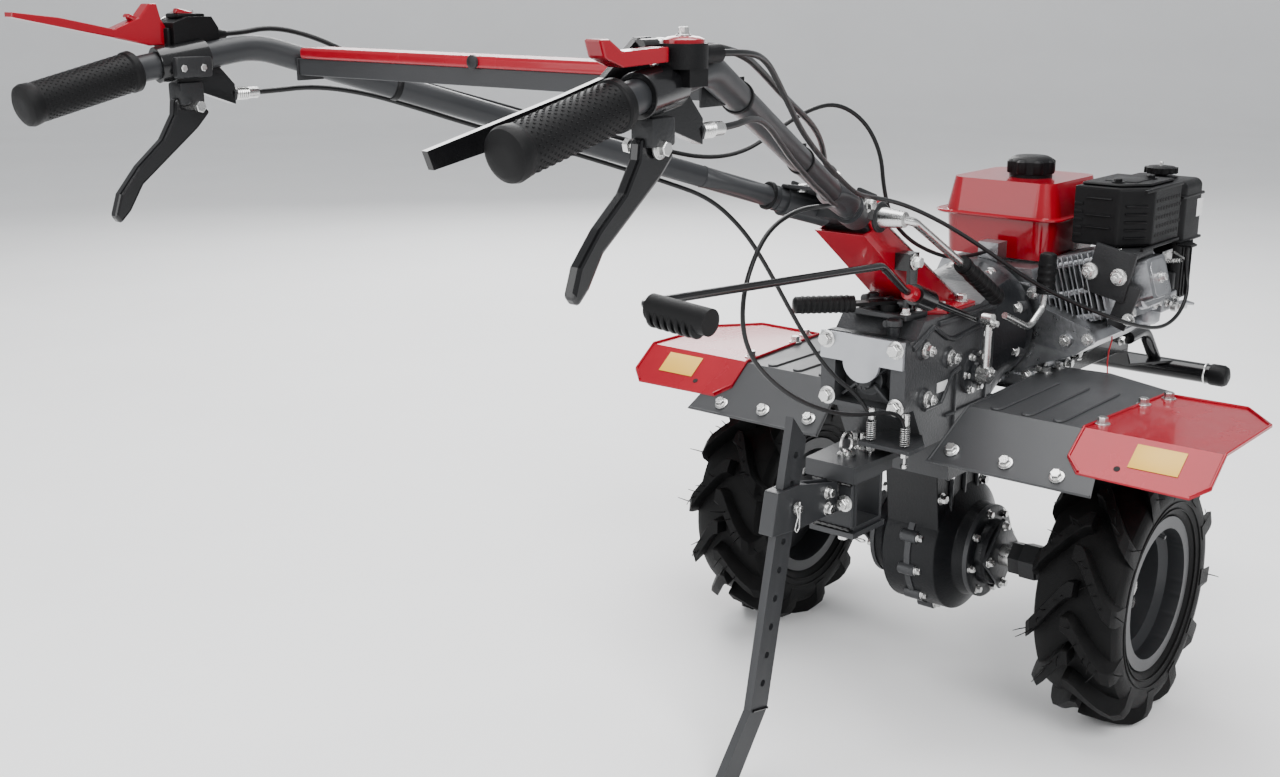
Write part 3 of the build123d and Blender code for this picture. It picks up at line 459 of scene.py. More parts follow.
def crown(y):
    """Radius of the carcass under the lugs."""
    return CARCASS_R - 16 * abs(y / TYRE_HALF) ** 3


def tyre(side, body):
    shape = Shape()
    outside = [(49, 103), (50, 116), (56, 122), (61, 135), (64, 150), (62, 162), (57, 170), (45, 174.5),
               (24, 176.5), (0, 177)]
    profile = outside + [(-y, r) for y, r in reversed(outside[:-1])]
    profile.append((-48, 101))
    rings = [[polar(side, y, r, i * 3.75) for y, r in profile] for i in range(96)]
    shape.skin(rings, ends=False, loop=True)
    for rib in (128, 139):
        for out in (-1, 1):
            y = out * (59.5 if rib == 128 else 62.5)
            shape.tube([polar(side, y, rib, a * 5) for a in range(72)], 1.4, 6, loop=True)
    for half in (-1, 1):
        for k in range(LUGS):
            turn = k * 360 / LUGS + (0 if half == 1 else 180 / LUGS)
            path = [(-6, -1.0, 10.5), (3, -0.4, 12.5), (11, 2.0, 13.0), (24, 7.6, 12.6), (38, 13.6, 12.4),
                    (52, 19.4, 12.6), (61, 22.4, 13.0), (64.4, 23.6, 13.0)]
            rings = []
            for y, swing, wide in path:
                middle = turn + swing
                low = crown(y) - 5
                top = TYRE_R - (0 if y < 50 else (y - 50) * 0.9)
                bevel = 3.0
                if y > 60:
                    low, top = 146, 178 if y > 62 else 190
                spread = math.degrees(wide / 190)
                flare = math.degrees((wide + bevel) / 190)
                rings.append(
                    [
                        polar(side, half * y, low, middle - flare),
                        polar(side, half * y, top - 2.0, middle - spread),
                        polar(side, half * y, top, middle - spread * 0.86),
                        polar(side, half * y, top, middle + spread * 0.86),
                        polar(side, half * y, top - 2.0, middle + spread),
                        polar(side, half * y, low, middle + flare),
                    ]
                )
            shape.skin(rings)
    tread = shape.keep(body + "_tyre_tread", "tyre_rubber", body, angle=28)
    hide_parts(body.split("_")[0] + "_tyre")
    hairs = Shape()
    for k in range(LUGS):
        for half in (-1, 1):
            for swing, y in ((1, 8), (5, 18), (10, 30), (14, 39), (18, 48), (23, 60)):
                start = k * 360 / LUGS + (0 if half == 1 else 180 / LUGS)
                angle = (start + swing + random.uniform(-2, 2)) % 360
                if 205 < angle < 335 or random.random() < 0.1:
                    continue
                root = polar(side, half * y, TYRE_R - 2 if y < 55 else 176, angle)
                out = (polar(side, half * y, TYRE_R, angle) - polar(side, half * y, 0, angle)).normalized()
                if y > 55:
                    out = (out * 0.5 + LEFT * side * half).normalized()
                lean = Vector([random.uniform(-0.5, 0.5) for _ in range(3)])
                length = random.uniform(14, 22)
                tips = [root + (out * t + lean * t * t) * length * MM for t in (0, 0.35, 0.7, 1)]
                hairs.tube(tips, [1.0, 0.95, 0.8, 0.5], 5)
    hairs.keep(body + "_tyre_hairs", "tyre_rubber", body)
    metal = Shape()
    for k in range(4):
        a = 45 + 90 * k
        metal.bolt(polar(side, -10, 58, a), LEFT * side, 17)
    metal.rod(polar(side, -15, 0, 0), polar(side, 12, 0, 0), 9, 20, 1)
    metal.hex(polar(side, 8, 0, 0), LEFT * side, 24, 10)
    metal.keep(body + "_bolts", "steel", body)
    trim = Shape()
    trim.lathe(polar(side, -10, 0, 0), LEFT * side, [(0, 46), (3, 46), (4, 44)], 40)
    trim.tube([polar(side, 48.5, 113, a * 5) for a in range(72)], 3.2, 8, loop=True)
    trim.tube([polar(side, -48.5, 113, a * 5) for a in range(72)], 3.2, 8, loop=True)
    trim.rod(polar(side, 30, 88, 80), polar(side, 52, 84, 80), 3.5, 12, 0.6)
    trim.keep(body + "_rim_trim", "graphite", body)
    hub = Shape()
    inner = -(TYRE_Y - 130)
    sleeve = [(0, 27), (18, 27), (19, 30), (44, 30), (46, 26), (90, 26)]
    hub.lathe(polar(side, inner, 0, 0), LEFT * side, sleeve, 6)
    hub.rod(polar(side, inner + 64, 34, 40), polar(side, inner + 64, -34, 40), 6, 14, 1)
    hub.keep(body + "_hub_sleeve", "black_cast", body)


tyre(1, "left_wheel")
tyre(-1, "right_wheel")

# ---------------------------------------------------------------- gearbox and final drive
steel = Shape()
cast = Shape()
GEAR_REAR, HALF_W = -257.0, 67.0
for y in (-57, 57):
    for z in (483, 568):
        steel.bolt(at(GEAR_REAR - (6 if z > 500 else 0), y, z), -FORWARD, 16)
for a in (40, -40, 140, -140):
    spot = at(GEAR_REAR + 19, 34 * math.cos(math.radians(a)), 513 + 26 * math.sin(math.radians(a)))
    cast.box(spot, (20, 34, 4), around("X", a), 1)
cast.lathe(at(GEAR_REAR + 30, 0, 513), -FORWARD, [(0, 24), (14, 24), (15, 20), (15, 13), (26, 13),
        (27, 11)], 32)
for i in range(10):
    a = math.radians(36 * i)
    cast.box(at(GEAR_REAR + 14, 12 * math.cos(a), 513 + 12 * math.sin(a)), (24, 3, 3), edge=0.4)
BELL_Z, BELL_R, BELL_X = 547.0, 98.0, 76.0
for k in range(8):
    a = math.radians(22.5 + 45 * k)
    spot = at(BELL_X - 14, (BELL_R - 11) * math.cos(a), BELL_Z + (BELL_R - 11) * math.sin(a))
    cast.lathe(spot - FORWARD * 10 * MM, FORWARD, [(0, 11), (14, 13)], 20)
    steel.bolt(spot - FORWARD * 10 * MM, -FORWARD, 13)
for side in (-1, 1):
    y = side * HALF_W
    for x, z in ((-132, 535), (-206, 560), (-196, 486)):
        cast.lathe(at(x, y, z), LEFT * side, [(-2, 17), (4, 14), (5, 12)], 28)
        steel.bolt(at(x, y + side * 5, z), LEFT * side, 15, stud=4)
    cast.tube([at(x, y + side, z) for x, z in ((-236, 566), (-180, 588), (-140, 566), (-118, 560),
            (-40, 566))], 4, 10)
    cast.tube([at(x, y + side, z) for x, z in ((-196, 470), (-150, 470), (-118, 508), (-96, 512))], 4, 10)
    cast.lathe(at(-60, y, 500), LEFT * side, [(0, 34), (6, 34), (8, 30), (10, 18), (16, 16)], 36)
    for k in range(6):
        a = math.radians(60 * k)
        steel.bolt(at(-60 + 28 * math.cos(a), y + side * 6, 500 + 28 * math.sin(a)), LEFT * side, 8)
    for x in (-108, -14):
        cast.box(at(x, y, 450), (5, 8, 110), edge=1)
    cast.box(at(-60, y, 447), (150, 8, 5), edge=1)
    cast.box(at(-80, y, 590), (170, 10, 8), edge=2)
turret = [(-222, -46), (-222, 46), (-176, 52), (-170, 52), (-170, -52), (-176, -52)]
cast.plate([at(x, y, 600) for x, y in turret], UP * 9 * MM, 1.5)
for x in (-213, -180):
    for y in (-40, 40):
        steel.bolt(at(x, y, 609), UP, 10)
cast.lathe(at(-232, -34, 577), UP, [(0, 9), (16, 9), (18, 12), (26, 12), (28, 8)], 20)
cast.lathe(at(-196, 24, 609), UP, [(0, 16), (10, 14), (12, 8), (20, 8), (21, 6)], 24)
cast.rod(at(-200, -40, 620), at(-200, 40, 620), 6, 16, 1)
for y in (-36, -4, 30):
    cast.box(at(-200, y, 618), (18, 8, 20), edge=2)
cast.rod(at(-236, -22, 596), at(-180, -22, 596), 5, 12)
for side in (-1, 1):
    cast.lathe(at(0, side * 79, HUB_Z), LEFT * side, [(0, 74), (7, 74), (9, 70), (9, 52), (22, 50),
            (24, 46)], 48)
    for k in range(8):
        a = math.radians(45 * k + 10)
        steel.bolt(at(64 * math.cos(a), side * 86, HUB_Z + 64 * math.sin(a)), LEFT * side, 10)
    cast.box(at(0, side * 107, HUB_Z), (84, 7, 84), around("Y", 45), 3)
    for k in range(4):
        a = math.radians(90 * k)
        steel.bolt(at(47 * math.cos(a), side * 110, HUB_Z + 47 * math.sin(a)), LEFT * side, 10)
for k in range(12):
    a = math.radians(30 * k + 12)
    if 60 < math.degrees(a) % 360 < 130:
        continue
    spot = at(103 * math.cos(a), -14, HUB_Z + 103 * math.sin(a))
    cast.rod(spot, spot + LEFT * 28 * MM, 10, 16, 1)
    steel.bolt(spot, -LEFT, 10)
cast.lathe(at(0, -5, HUB_Z), LEFT, [(0, 106), (10, 106)], 72)
for x, z in ((-88, 300), (40, 300), (-70, 335)):
    for side in (-1, 1):
        steel.bolt(at(x, side * 45, z), LEFT * side, 12)
for x in (-60, -20, 20):
    for side in (-1, 1):
        cast.box(at(x, side * 46, 296), (5, 8, 80), edge=1)
steel.bolt(at(0, 0, HUB_Z - 104), -UP, 17, washer=False)
steel.keep("gearbox_bolts", "steel")
cast.keep("gearbox_castings", "gear_cast")
plates = Shape()
plates.box(at(-146, -HALF_W - 0.8, 494), (30, 1, 15), edge=0.2)
plates.keep("gearbox_blank_plate", "white_plate", surface=WHITE)

# ---------------------------------------------------------------- engine
alu = Shape()
steel = Shape()
black = Shape()
BLOCK_X = (84.0, 285.0)
for i in range(7):
    x = 100 + i * 29
    alu.box(at(x, -96, 515), (4, 16, 60), edge=1)
    alu.box(at(x, 89, 520), (4, 8, 120), edge=1)
alu.box(at(184, -92, 488), (196, 14, 6), edge=1.5)
alu.box(at(184, -150, 520), (190, 5, 20), around("X", 28), 1.5)
for z in (470, 530, 612):
    alu.box(at(BLOCK_X[0] - 1, -40, z), (4, 90, 5), edge=1)
for y, z in ((-186, 541), (-150, 534), (-92, 600), (-92, 470), (-40, 458), (40, 458), (80, 600)):
    alu.lathe(at(BLOCK_X[0], y, z), -FORWARD, [(0, 11), (5, 10)], 20)
    steel.bolt(at(BLOCK_X[0] - 5, y, z), -FORWARD, 11)
for k in range(8):
    a = math.radians(45 * k + 20)
    steel.bolt(at(BLOCK_X[1], 86 * math.cos(a), 546 + 86 * math.sin(a)), FORWARD, 10)
for x in (112, 258):
    for y in (-84, 84):
        alu.box(at(x, y, 456), (34, 26, 14), edge=2)
        steel.bolt(at(x, y * 1.08, 462), UP, 13, stud=5)
black.lathe(at(110, -92, 560), -LEFT, [(0, 15), (6, 15), (8, 19), (20, 19), (22, 15)], 20)
steel.bolt(at(250, -92, 476), -LEFT, 15)
steel.bolt(at(120, -92, 476), -LEFT, 15)
TILT = math.radians(16.5)
CYL_U = Vector((0, -math.cos(TILT), math.sin(TILT)))
CYL_V = Vector((0, math.sin(TILT), math.cos(TILT)))
CYL_TURN = Matrix((FORWARD, CYL_U, CYL_V)).transposed()


def cyl(x, u, v):
    """Point by the cylinder: x from its middle, u outwards, v upwards."""
    return at(185 + x, 0, 556) + (CYL_U * u + CYL_V * v) * MM


for i in range(10):
    u = 109 + i * 8.4
    size = 74 - (3 if i % 2 else 0)
    alu.box(cyl(0, u, 8), (2 * size, 2.4, 104), CYL_TURN, 0.6)
for x in (-66, 66):
    for v in (-36, 4, 48):
        alu.rod(cyl(x, 106, v), cyl(x, 192, v), 5, 12)
alu.box(cyl(0, 204, 4), (128, 24, 114), CYL_TURN, 5)
for x in (-50, 50):
    for v in (-42, 50):
        alu.lathe(cyl(x, 190, v), CYL_U, [(0, 12), (31, 11)], 20)
        steel.bolt(cyl(x, 221, v), CYL_U, 12)
cap = [(-46, -34), (-46, 30), (-30, 44), (26, 44), (40, 28), (36, -34), (20, -42), (-34, -42)]
alu.plate([cyl(x, 231, v) for x, v in cap], CYL_U * 14 * MM, 3)
cap_top = [(x * 0.72 - 2, v * 0.72) for x, v in cap]
alu.plate([cyl(x, 244, v) for x, v in cap_top], CYL_U * 17 * MM, 4)
for x, v in ((-40, -30), (-34, 36), (34, 32), (30, -34)):
    steel.bolt(cyl(x, 231, v), CYL_U, 10, washer=False)
steel.bolt(cyl(-4, 261, 0), CYL_U, 11)
# Bracket of the exhaust between the head and the guard, and its two large nuts.
black.box(at(116, -198, 640), (8, 66, 76), around("X", 12), 2)
black.box(at(150, -205, 668), (70, 60, 12), edge=3)
for y, z in ((-168, 640), (-214, 636)):
    steel.lathe(at(112, y, z), -FORWARD, [(0, 13), (3, 13)], 24)
    steel.bolt(at(109, y, z), -FORWARD, 15, stud=5)
black.box(at(120, -222, 590), (6, 30, 70), around("X", 18), 2)
steel.bolt(at(116, -232, 572), -FORWARD, 12)
black.rod(at(160, -170, 640), at(190, -176, 690), 16, 20)
black.rod(at(236, -205, 604), at(262, -214, 640), 9, 16, 2)
black.tube([at(236, -205, 604), at(210, -160, 612), at(240, -100, 634), at(270, -40, 640)], 4, 10)
alu.keep("crankcase_ribs_and_fins", "raw_alu")

# Guard round the silencer: louvres, bolted lid, and the holes of the pierced side drawn as near-black discs of
# painted shade.
GUARD_Z = (676.0, 765.0)
guard = Shape()
rows = [z for z in range(690, 760, 12)]


def louvre(shape, a, b, z, out):
    """Pressed slot between plan points a and b, standing out along out."""
    start, end = at(*a, z), at(*b, z)
    along = (end - start).normalized()
    middle = (start + end) / 2 + out * 0.8 * MM
    turn = Matrix((along, out, UP)).transposed() @ Matrix.Rotation(math.radians(-24), 3, "X")
    shape.box(middle, ((end - start).length / MM, 5, 2.2), turn, 0.8)


CHAMFER_OUT = Vector((-38, -42, 0)).normalized()
for z in (704, 722, 748):
    louvre(guard, (130, -186), (130, -146), z, -FORWARD)
for z in rows[:-1]:
    louvre(guard, (138, -204.6), (164, -227.6), z, CHAMFER_OUT)
for z in rows[:-1]:
    guard.box(at(129.6, -134, z), (2.5, 14, 5), edge=0.8)
# The holes of the pierced side are not cut; thin near-black discs paint the shade inside them.
guard_hole_shade = Shape()
for ix in range(9):
    for iz in range(5):
        x = 184 + ix * 10.5 + (5 if iz % 2 else 0)
        guard_hole_shade.lathe(at(x, -235, 692 + iz * 13), -LEFT, [(0, 3.1), (0.5, 3.1), (0.6, 2.2)], 12)
guard.plate([at(x, y, GUARD_Z[1]) for x, y in
             [(140, -132), (140, -192), (176, -226), (268, -226), (268, -132)]], UP * 5 * MM, 2)
guard.box(at(200, -180, GUARD_Z[1] + 5), (60, 50, 2.5), edge=1)
for x, y in ((160, -180), (236, -200)):
    guard.lathe(at(x, y, GUARD_Z[1] + 5), UP, [(0, 10), (1.5, 10)], 20)
    guard.hex(at(x, y, GUARD_Z[1] + 6), UP, 11, 5)
guard.box(at(204, -236, 676), (140, 5, 5), edge=1)
guard.box(at(204, -236, 763), (142, 5, 5), edge=1)
guard.keep("silencer_guard_pressings", "black_plastic")
# Painted shade in the guard holes; the black_plastic slot is passed, but the shade surface is the one used.
guard_hole_shade.keep("silencer_guard_holes", "black_plastic", surface=PAINTED_HOLE_SHADE)

# Air cleaner lid, wing nut, clips and the two-part body.
air = Shape()
low, high = span("air_cleaner")
for z, grow in ((738, 0.8), (667.5, 1.0)):
    air.box(at(331, -178, z), (88 + 2 * grow, 114 + 2 * grow, 5), edge=2)
air.lathe(at(331, -178, high.z - 1), UP, [(0, 26), (3, 26), (4, 10), (8, 10)], 28)
air.lathe(at(331, -178, high.z + 6), UP, [(0, 22), (1, 24), (9, 24), (11, 20), (12, 8)], 32)
for k in range(12):
    a = math.radians(30 * k)
    air.lathe(at(331 + 23 * math.cos(a), -178 + 23 * math.sin(a), high.z + 6.5), UP, [(0, 3.6), (9, 3.4)], 8)
for i in range(4):
    air.box(at(304.5, -188 + i * 16 - 16, 620), (3, 4, 88), edge=1)
    air.box(at(322 + i * 12, -228.5, 620), (3.5, 2.5, 90), edge=0.8)
air.box(at(331, -120, 700), (30, 5, 44), edge=1.5)
air.rod(at(286, -170, 700), at(286, -150, 724), 3, 10)
air.keep("air_cleaner_details", "black_plastic")
label = Shape()
label.box(at(358, -235.4, 716), (24, 0.8, 28), edge=0.2)
label.keep("air_cleaner_blank_label", "white_plate", surface=WHITE)
steel.rod(at(331, -178, high.z + 16), at(331, -178, high.z + 24), 3, 12, 0.5)

# Carburettor, fuel tap and controls.
carb = Shape()
carb.lathe(at(276, -196, 562), -UP, [(0, 20), (4, 22), (22, 21), (27, 15), (28, 6)], 28)
carb.rod(at(248, -206, 578), at(238, -206, 578), 15, 24, 2)
carb.box(at(286, -226, 586), (22, 16, 10), edge=2)
carb.box(at(272, -200, 594), (44, 34, 8), edge=2)
carb.tube([at(282, -236, 570), at(300, -248, 572), at(324, -252, 566)], [4, 4, 2.5], 10)
carb.lathe(at(276, -196, 534), -UP, [(0, 8), (6, 8), (7, 5)], 6)
carb.keep("carburettor_details", "raw_alu")
steel.bolt(at(262, -232, 575), -LEFT, 8)
steel.bolt(at(292, -232, 577), -LEFT, 8)
steel.lathe(at(278, -236, 568), -LEFT, [(0, 9), (8, 9), (9, 7)], 20)
steel.box(at(296, -246, 566), (34, 3, 9), around("Y", 8), 1)
steel.spring(at(286, -240, 640), at(250, -214, 640), 3, 0.6, 12)
steel.box(at(262, -226, 650), (40, 2, 16), edge=0.5)
steel.rod(at(286, -246, 644), at(286, -228, 652), 2, 8)
black.box(at(300, -214, 600), (12, 26, 34), edge=3)

# Tank seam, cap and neck.
tank = Shape()
low, high = span("fuel_cap")
cap_at = at(218, -9, low.z)
tank.lathe(cap_at, UP, [(0, 34), (5, 34), (6, 35.5), (25, 35.5), (30, 32), (33, 26), (33.5, 6)], 64)
for k in range(8):
    a = math.radians(45 * k)
    tank.lathe(cap_at + Vector((math.cos(a), math.sin(a), 0)) * 30 * MM + UP * 7 * MM, UP,
               [(0, 9), (1, 9.6), (18, 9.6), (21, 6)], 20)
cap_piece = tank.keep("fuel_cap_ribbed", "black_plastic")
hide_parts("fuel_cap")
seam = Shape()
corner = 30.0
outline = []
for cx, cy, a0 in ((1, 1, 0), (-1, 1, 90), (-1, -1, 180), (1, -1, 270)):
    for k in range(7):
        a = math.radians(a0 + 15 * k)
        outline.append(
            at(225 + cx * (106 - corner) + corner * math.cos(a),
                    5 + cy * (108 - corner) + corner * math.sin(a), 706)
        )
seam.tube(outline, 2.6, 8, loop=True)
seam.keep("fuel_tank_seam", "red_plastic")

# Fan shroud and recoil starter.
FAN_X = 371.0
starter = Shape()
starter.lathe(at(FAN_X - 2, 0, 546), FORWARD, [(0, 60), (5, 58), (6, 54), (6, 30), (9, 28), (10, 6)], 48)
for k in range(18):
    a = 20 * k
    turn = Matrix.Rotation(math.radians(a), 3, "X")
    starter.box(at(FAN_X - 1, 0, 546) + turn @ Vector((0, 68, 0)) * MM, (4, 18, 5), turn, 1.2)
for k in range(4):
    a = math.radians(90 * k + 45)
    starter.box(at(341, 92 * math.cos(a), 546 + 92 * math.sin(a)), (6, 18, 18), edge=2)
    steel.bolt(at(344, 92 * math.cos(a), 546 + 92 * math.sin(a)), FORWARD, 9)
starter.box(at(356, 74, 600), (22, 28, 26), edge=4)
starter.rod(at(356, 84, 618), at(356, 112, 622), 8, 16, 2)
starter.keep("recoil_starter_details", "black_plastic")
steel.keep("engine_bolts", "steel")
black.keep("exhaust_bracket_and_fittings", "black_cast")

# ---------------------------------------------------------------- fenders
steel = Shape()
ribs = Shape()
for side in (-1, 1):
    for y in (148, 196, 244):
        ribs.plate([at(x, side * (y + w), 470.5) for x, w in
                    [(-138, -4), (-131, -9), (60, -9), (60, 9), (-131, 9), (-138, 4)]], UP * 3.2 * MM, 2.4)
    ribs.tube([at(x, side * y, z) for x, y, z in
               [(-227, 96, 406), (-142, 109, 470), (0, 105, 470), (150, 99, 470)]], 2.2, 8)
    ribs.tube([at(x, side * y, z) for x, y, z in [(-227, 94, 406), (-227, 338, 406)]], 2.0, 8)
ribs.keep("fender_pressed_ribs", "graphite")
hems = Shape()
for side in (-1, 1):
    hems.tube([at(x, side * y, z) for x, y, z in
               [(-202, 308, 429), (-184, 286, 442), (-142, 287, 474), (94, 306, 474)]], 2.0, 8)
    hems.tube([at(x, side * y, z) for x, y, z in
               [(94, 306, 474), (97, 427, 474), (30, 481, 474), (-142, 481, 474), (-187, 481, 440),
                (-203, 461, 427)]], 2.2, 8)
hems.keep("wing_rolled_edges", "red_paint")
SLOPE = math.atan2(66, 86)


def on_slope(y, s, above=0.5):
    """Point on the rear slope of a fender, s down from the fold."""
    lift = Vector((-math.sin(SLOPE), 0, math.cos(SLOPE))) * above * MM
    return at(-142 - s * math.cos(SLOPE), y, 471 - s * math.sin(SLOPE)) + lift


SLOPE_OUT = Vector((-math.sin(SLOPE), 0, math.cos(SLOPE)))
for side in (-1, 1):
    for y, s in ((122, 82), (206, 84), (284, 88)):
        steel.bolt(on_slope(side * y, s), SLOPE_OUT, 13)
    for y, x in ((300, -112), (304, 20), (320, 74)):
        steel.bolt(at(x, side * y, 473), UP, 13)
    for x, y in ((108, 110), (148, 112)):
        steel.bolt(at(x, side * y, 471), UP, 12)
labels = Shape()
for side in (-1, 1):
    turn = Matrix((Vector((-math.cos(SLOPE), 0, -math.sin(SLOPE))), LEFT, SLOPE_OUT)).transposed()
    labels.box(on_slope(side * 402, 30, 2.8), (40, 68, 0.8), turn, 0.2)
labels.keep("wing_blank_labels", "white_plate", surface=YELLOW)
# Near-black discs of painted shade stand for the holes in the wings.
dark = Shape()
for side in (-1, 1):
    dark.lathe(on_slope(side * 356, 56, 1.8), SLOPE_OUT, [(0, 4.5), (0.6, 4.5), (0.7, 3)], 16)

# ---------------------------------------------------------------- frame and bumper
black = Shape()
for side in (-1, 1):
    black.lathe(at(550, side * 214, 398), LEFT * side, [(0, 18.4), (3, 19), (22, 19), (28, 16), (31, 9)], 32)
    steel.tube([at(550 + 17.4 * math.cos(a * math.pi / 12), side * 206,
            398 + 17.4 * math.sin(a * math.pi / 12))
                for a in range(24)], 1.6, 6, loop=True)
    for x in (210, 420):
        steel.bolt(at(x, side * 98, 466), LEFT * side, 12)
for x in (486, 530):
    for y in (-60, 60):
        steel.bolt(at(x, y, 414), UP, 12)
for x in (-30, 0, 30):
    black.box(at(508, x, 414.5), (60, 9, 4), edge=1.5)

# ---------------------------------------------------------------- steering column and levers
for x, y in ((-132, 50), (-132, -50), (-68, 50), (-68, -50)):
    steel.bolt(at(x, y, 606), UP, 13)
for side in (-1, 1):
    steel.tube([at(x, side * 40, z) for x, z in ((-300, 741), (-270, 741), (-60, 608))], 1.6, 8)
steel.bolt(at(-236, -64, 690), -LEFT, 14)
ROD_DIR = Vector((206, 0, -74)).normalized()
guide = Shape()
for i in range(4):
    guide.lathe(at(-256, -78, 648.7) + ROD_DIR * (-5 - 5.2 * i) * MM, ROD_DIR, [(0, 9), (0.6, 10.5),
            (4, 10.5), (4.6, 9)], 20)
guide.keep("guide_spacer", "red_plastic")
for z in (505, 579):
    steel.bolt(at(-66, -102, z), -LEFT, 9)
steel.rod(at(-66, -94, 510), at(-66, -94, 574), 6.6, 16)
steel.lathe(at(-66, -85, 500), -LEFT, [(0, 13), (18, 13), (19, 11), (19, 6), (21, 5)], 28)
for z in (525, 560):
    steel.hex(at(-66, -94, z), UP, 12, 8)
black.lathe(at(-154, -95.5, 677.5), Vector((110, -5, -68)), [(0, 13), (8, 13), (12, 12)], 24)
for i in range(7):
    black.lathe(at(-146, -95.5, 672.5) + Vector((110, -5, -68)).normalized() * (16 + 14 * i) * MM,
                Vector((110, -5, -68)), [(0, 12.2), (3, 13.2), (6, 13.2), (9, 12.2)], 24)
black.lathe(at(-842, -156, 719.4), Vector((0, -66, -5)), [(0, 15.4), (3, 15.4), (5, 13), (6, 6)], 28)
for i in range(6):
    black.lathe(at(-842, -98 - i * 9.5, 723.8 - i * 0.72), Vector((0, -66, -5)),
                [(0, 15.1), (1.5, 15.9), (4, 15.9), (5.5, 15.1)], 28)
RANGE_DIR = Vector((-64, 60, 0)).normalized()
for i in range(9):
    black.lathe(at(-254, 20, 622.5) + RANGE_DIR * (8 + 8 * i) * MM, RANGE_DIR,
                [(0, 12.1), (1, 12.9), (4, 12.9), (5, 12.1)], 24)
black.lathe(at(-254, 20, 622.5) + RANGE_DIR * 82 * MM, RANGE_DIR, [(0, 12.2), (3, 12.2), (6, 9), (7, 4)], 24)
for i in range(4):
    black.lathe(at(62.6 + i * 1.0, -120, 612 + i * 11), Vector((4, 0, 50)),
                [(0, 13.1), (2, 14), (6, 14), (8, 13.1)], 24)
black.lathe(at(66.4, -120, 662), Vector((4, 0, 50)), [(0, 13.2), (4, 12), (7, 7)], 24)
steel.spring(at(-270, -26, 434), at(-270, -26, 462), 6.5, 0.8, 9)
steel.spring(at(-268, -80, 434), at(-268, -80, 462), 6.5, 0.8, 9)
for y, x in ((-26, -270), (-80, -268)):
    steel.lathe(at(x, y, 464), UP, [(0, 5), (2, 6), (16, 6), (18, 4.2)], 16)
    steel.hex(at(x, y, 424), -UP, 11, 7)
    steel.rod(at(x, y, 404), at(x, y, 424), 2.2, 10)
    steel.lathe(at(x, y, 402), UP, [(0, 4.5), (5, 4.5)], 14)

# ---------------------------------------------------------------- hitch and stake
for x, y in ((-212, -34), (-212, 34), (-150, -38), (-150, 38)):
    steel.bolt(at(x, y, 409.5), UP, 14)
steel.bolt(at(-248, 0, 409.5), UP, 15, stud=12)
steel.bolt(at(-326, -22, 352), -FORWARD, 15, stud=4)
steel.bolt(at(-326, 22, 352), -FORWARD, 15, stud=4)
ring = [at(-292 + 15 * math.cos(a * math.pi / 12), 0,
        429 + 15 * math.sin(a * math.pi / 12)) for a in range(24)]
steel.tube(ring, 2.2, 8, loop=True)
steel.lathe(at(-292, 0, 413.5), UP, [(0, 7), (4, 7), (6, 4)], 16)


def r_clip(shape, origin, along, across, size):
    """Spring clip bent from round wire, its straight leg starting at origin."""
    legs = [(-6, 0), (size, 0), (size * 1.12, 2), (size * 1.2, 5), (size * 1.1, 9), (size, 10),
            (size * 0.75, 7), (size * 0.5, 3.4), (size * 0.3, 5), (size * 0.1, 8), (-2, 9)]
    shape.tube([origin + (along * a + across * b) * MM for a, b in legs], 1.2, 8)


r_clip(steel, at(-292, -9, 290), LEFT * -1, -FORWARD, 26)
steel.rod(at(-434, -22, 372), at(-434, 22, 372), 5, 16, 1)
steel.lathe(at(-434, -13, 372), -LEFT, [(0, 9), (2, 9)], 20)
r_clip(steel, at(-434, -18, 376), -UP, -FORWARD, 30)
for x, z in ((-356, 374), (-356, 350)):
    steel.bolt(at(x, -11.5, z), -LEFT, 12)
    steel.bolt(at(x, 11.5, z), LEFT, 12)
# Painted shade in the wing holes; the black_paint slot is passed, but the shade surface is the one used.
dark.keep("wing_holes", "black_paint", surface=PAINTED_HOLE_SHADE)
weld = Shape()
for a, b in (((-327, -32, 380), (-327, 32, 380)), ((-327, -32, 314), (-327, 32, 314)),
             ((-328, -11, 384), (-328, -11, 340)), ((-328, 11, 384), (-328, 11, 340))):
    start, end = at(*a), at(*b)
    steps = max(4, int((end - start).length / MM / 4))
    points = [start + (end - start) * i / steps for i in range(steps + 1)]
    weld.tube(points, [2.4 + 0.7 * math.sin(2.4 * i) for i in range(steps + 1)], 8)
weld.keep("hitch_welds", "black_paint")
steel.keep("frame_and_hitch_fasteners", "steel")
black.keep("lever_grips_ribs", "black_plastic")
stake = Shape()
for y in (-6.4, 6.4):
    stake.tube([at(-517, y, 98), at(-483, y, 91)], 2.2, 8)
stake.keep("stake_weld", "black_paint", "stake")

# ---------------------------------------------------------------- handlebar
BAR_A, BAR_B = Vector((-404, 56, 786)), Vector((-1034, 313, 998))
GRIP_DIR = Vector((-122, 1, -28.3)).normalized()


def bar(side, t, up=0.0):
    p = BAR_A.lerp(BAR_B, t)
    return at(p.x, side * p.y, p.z + up)


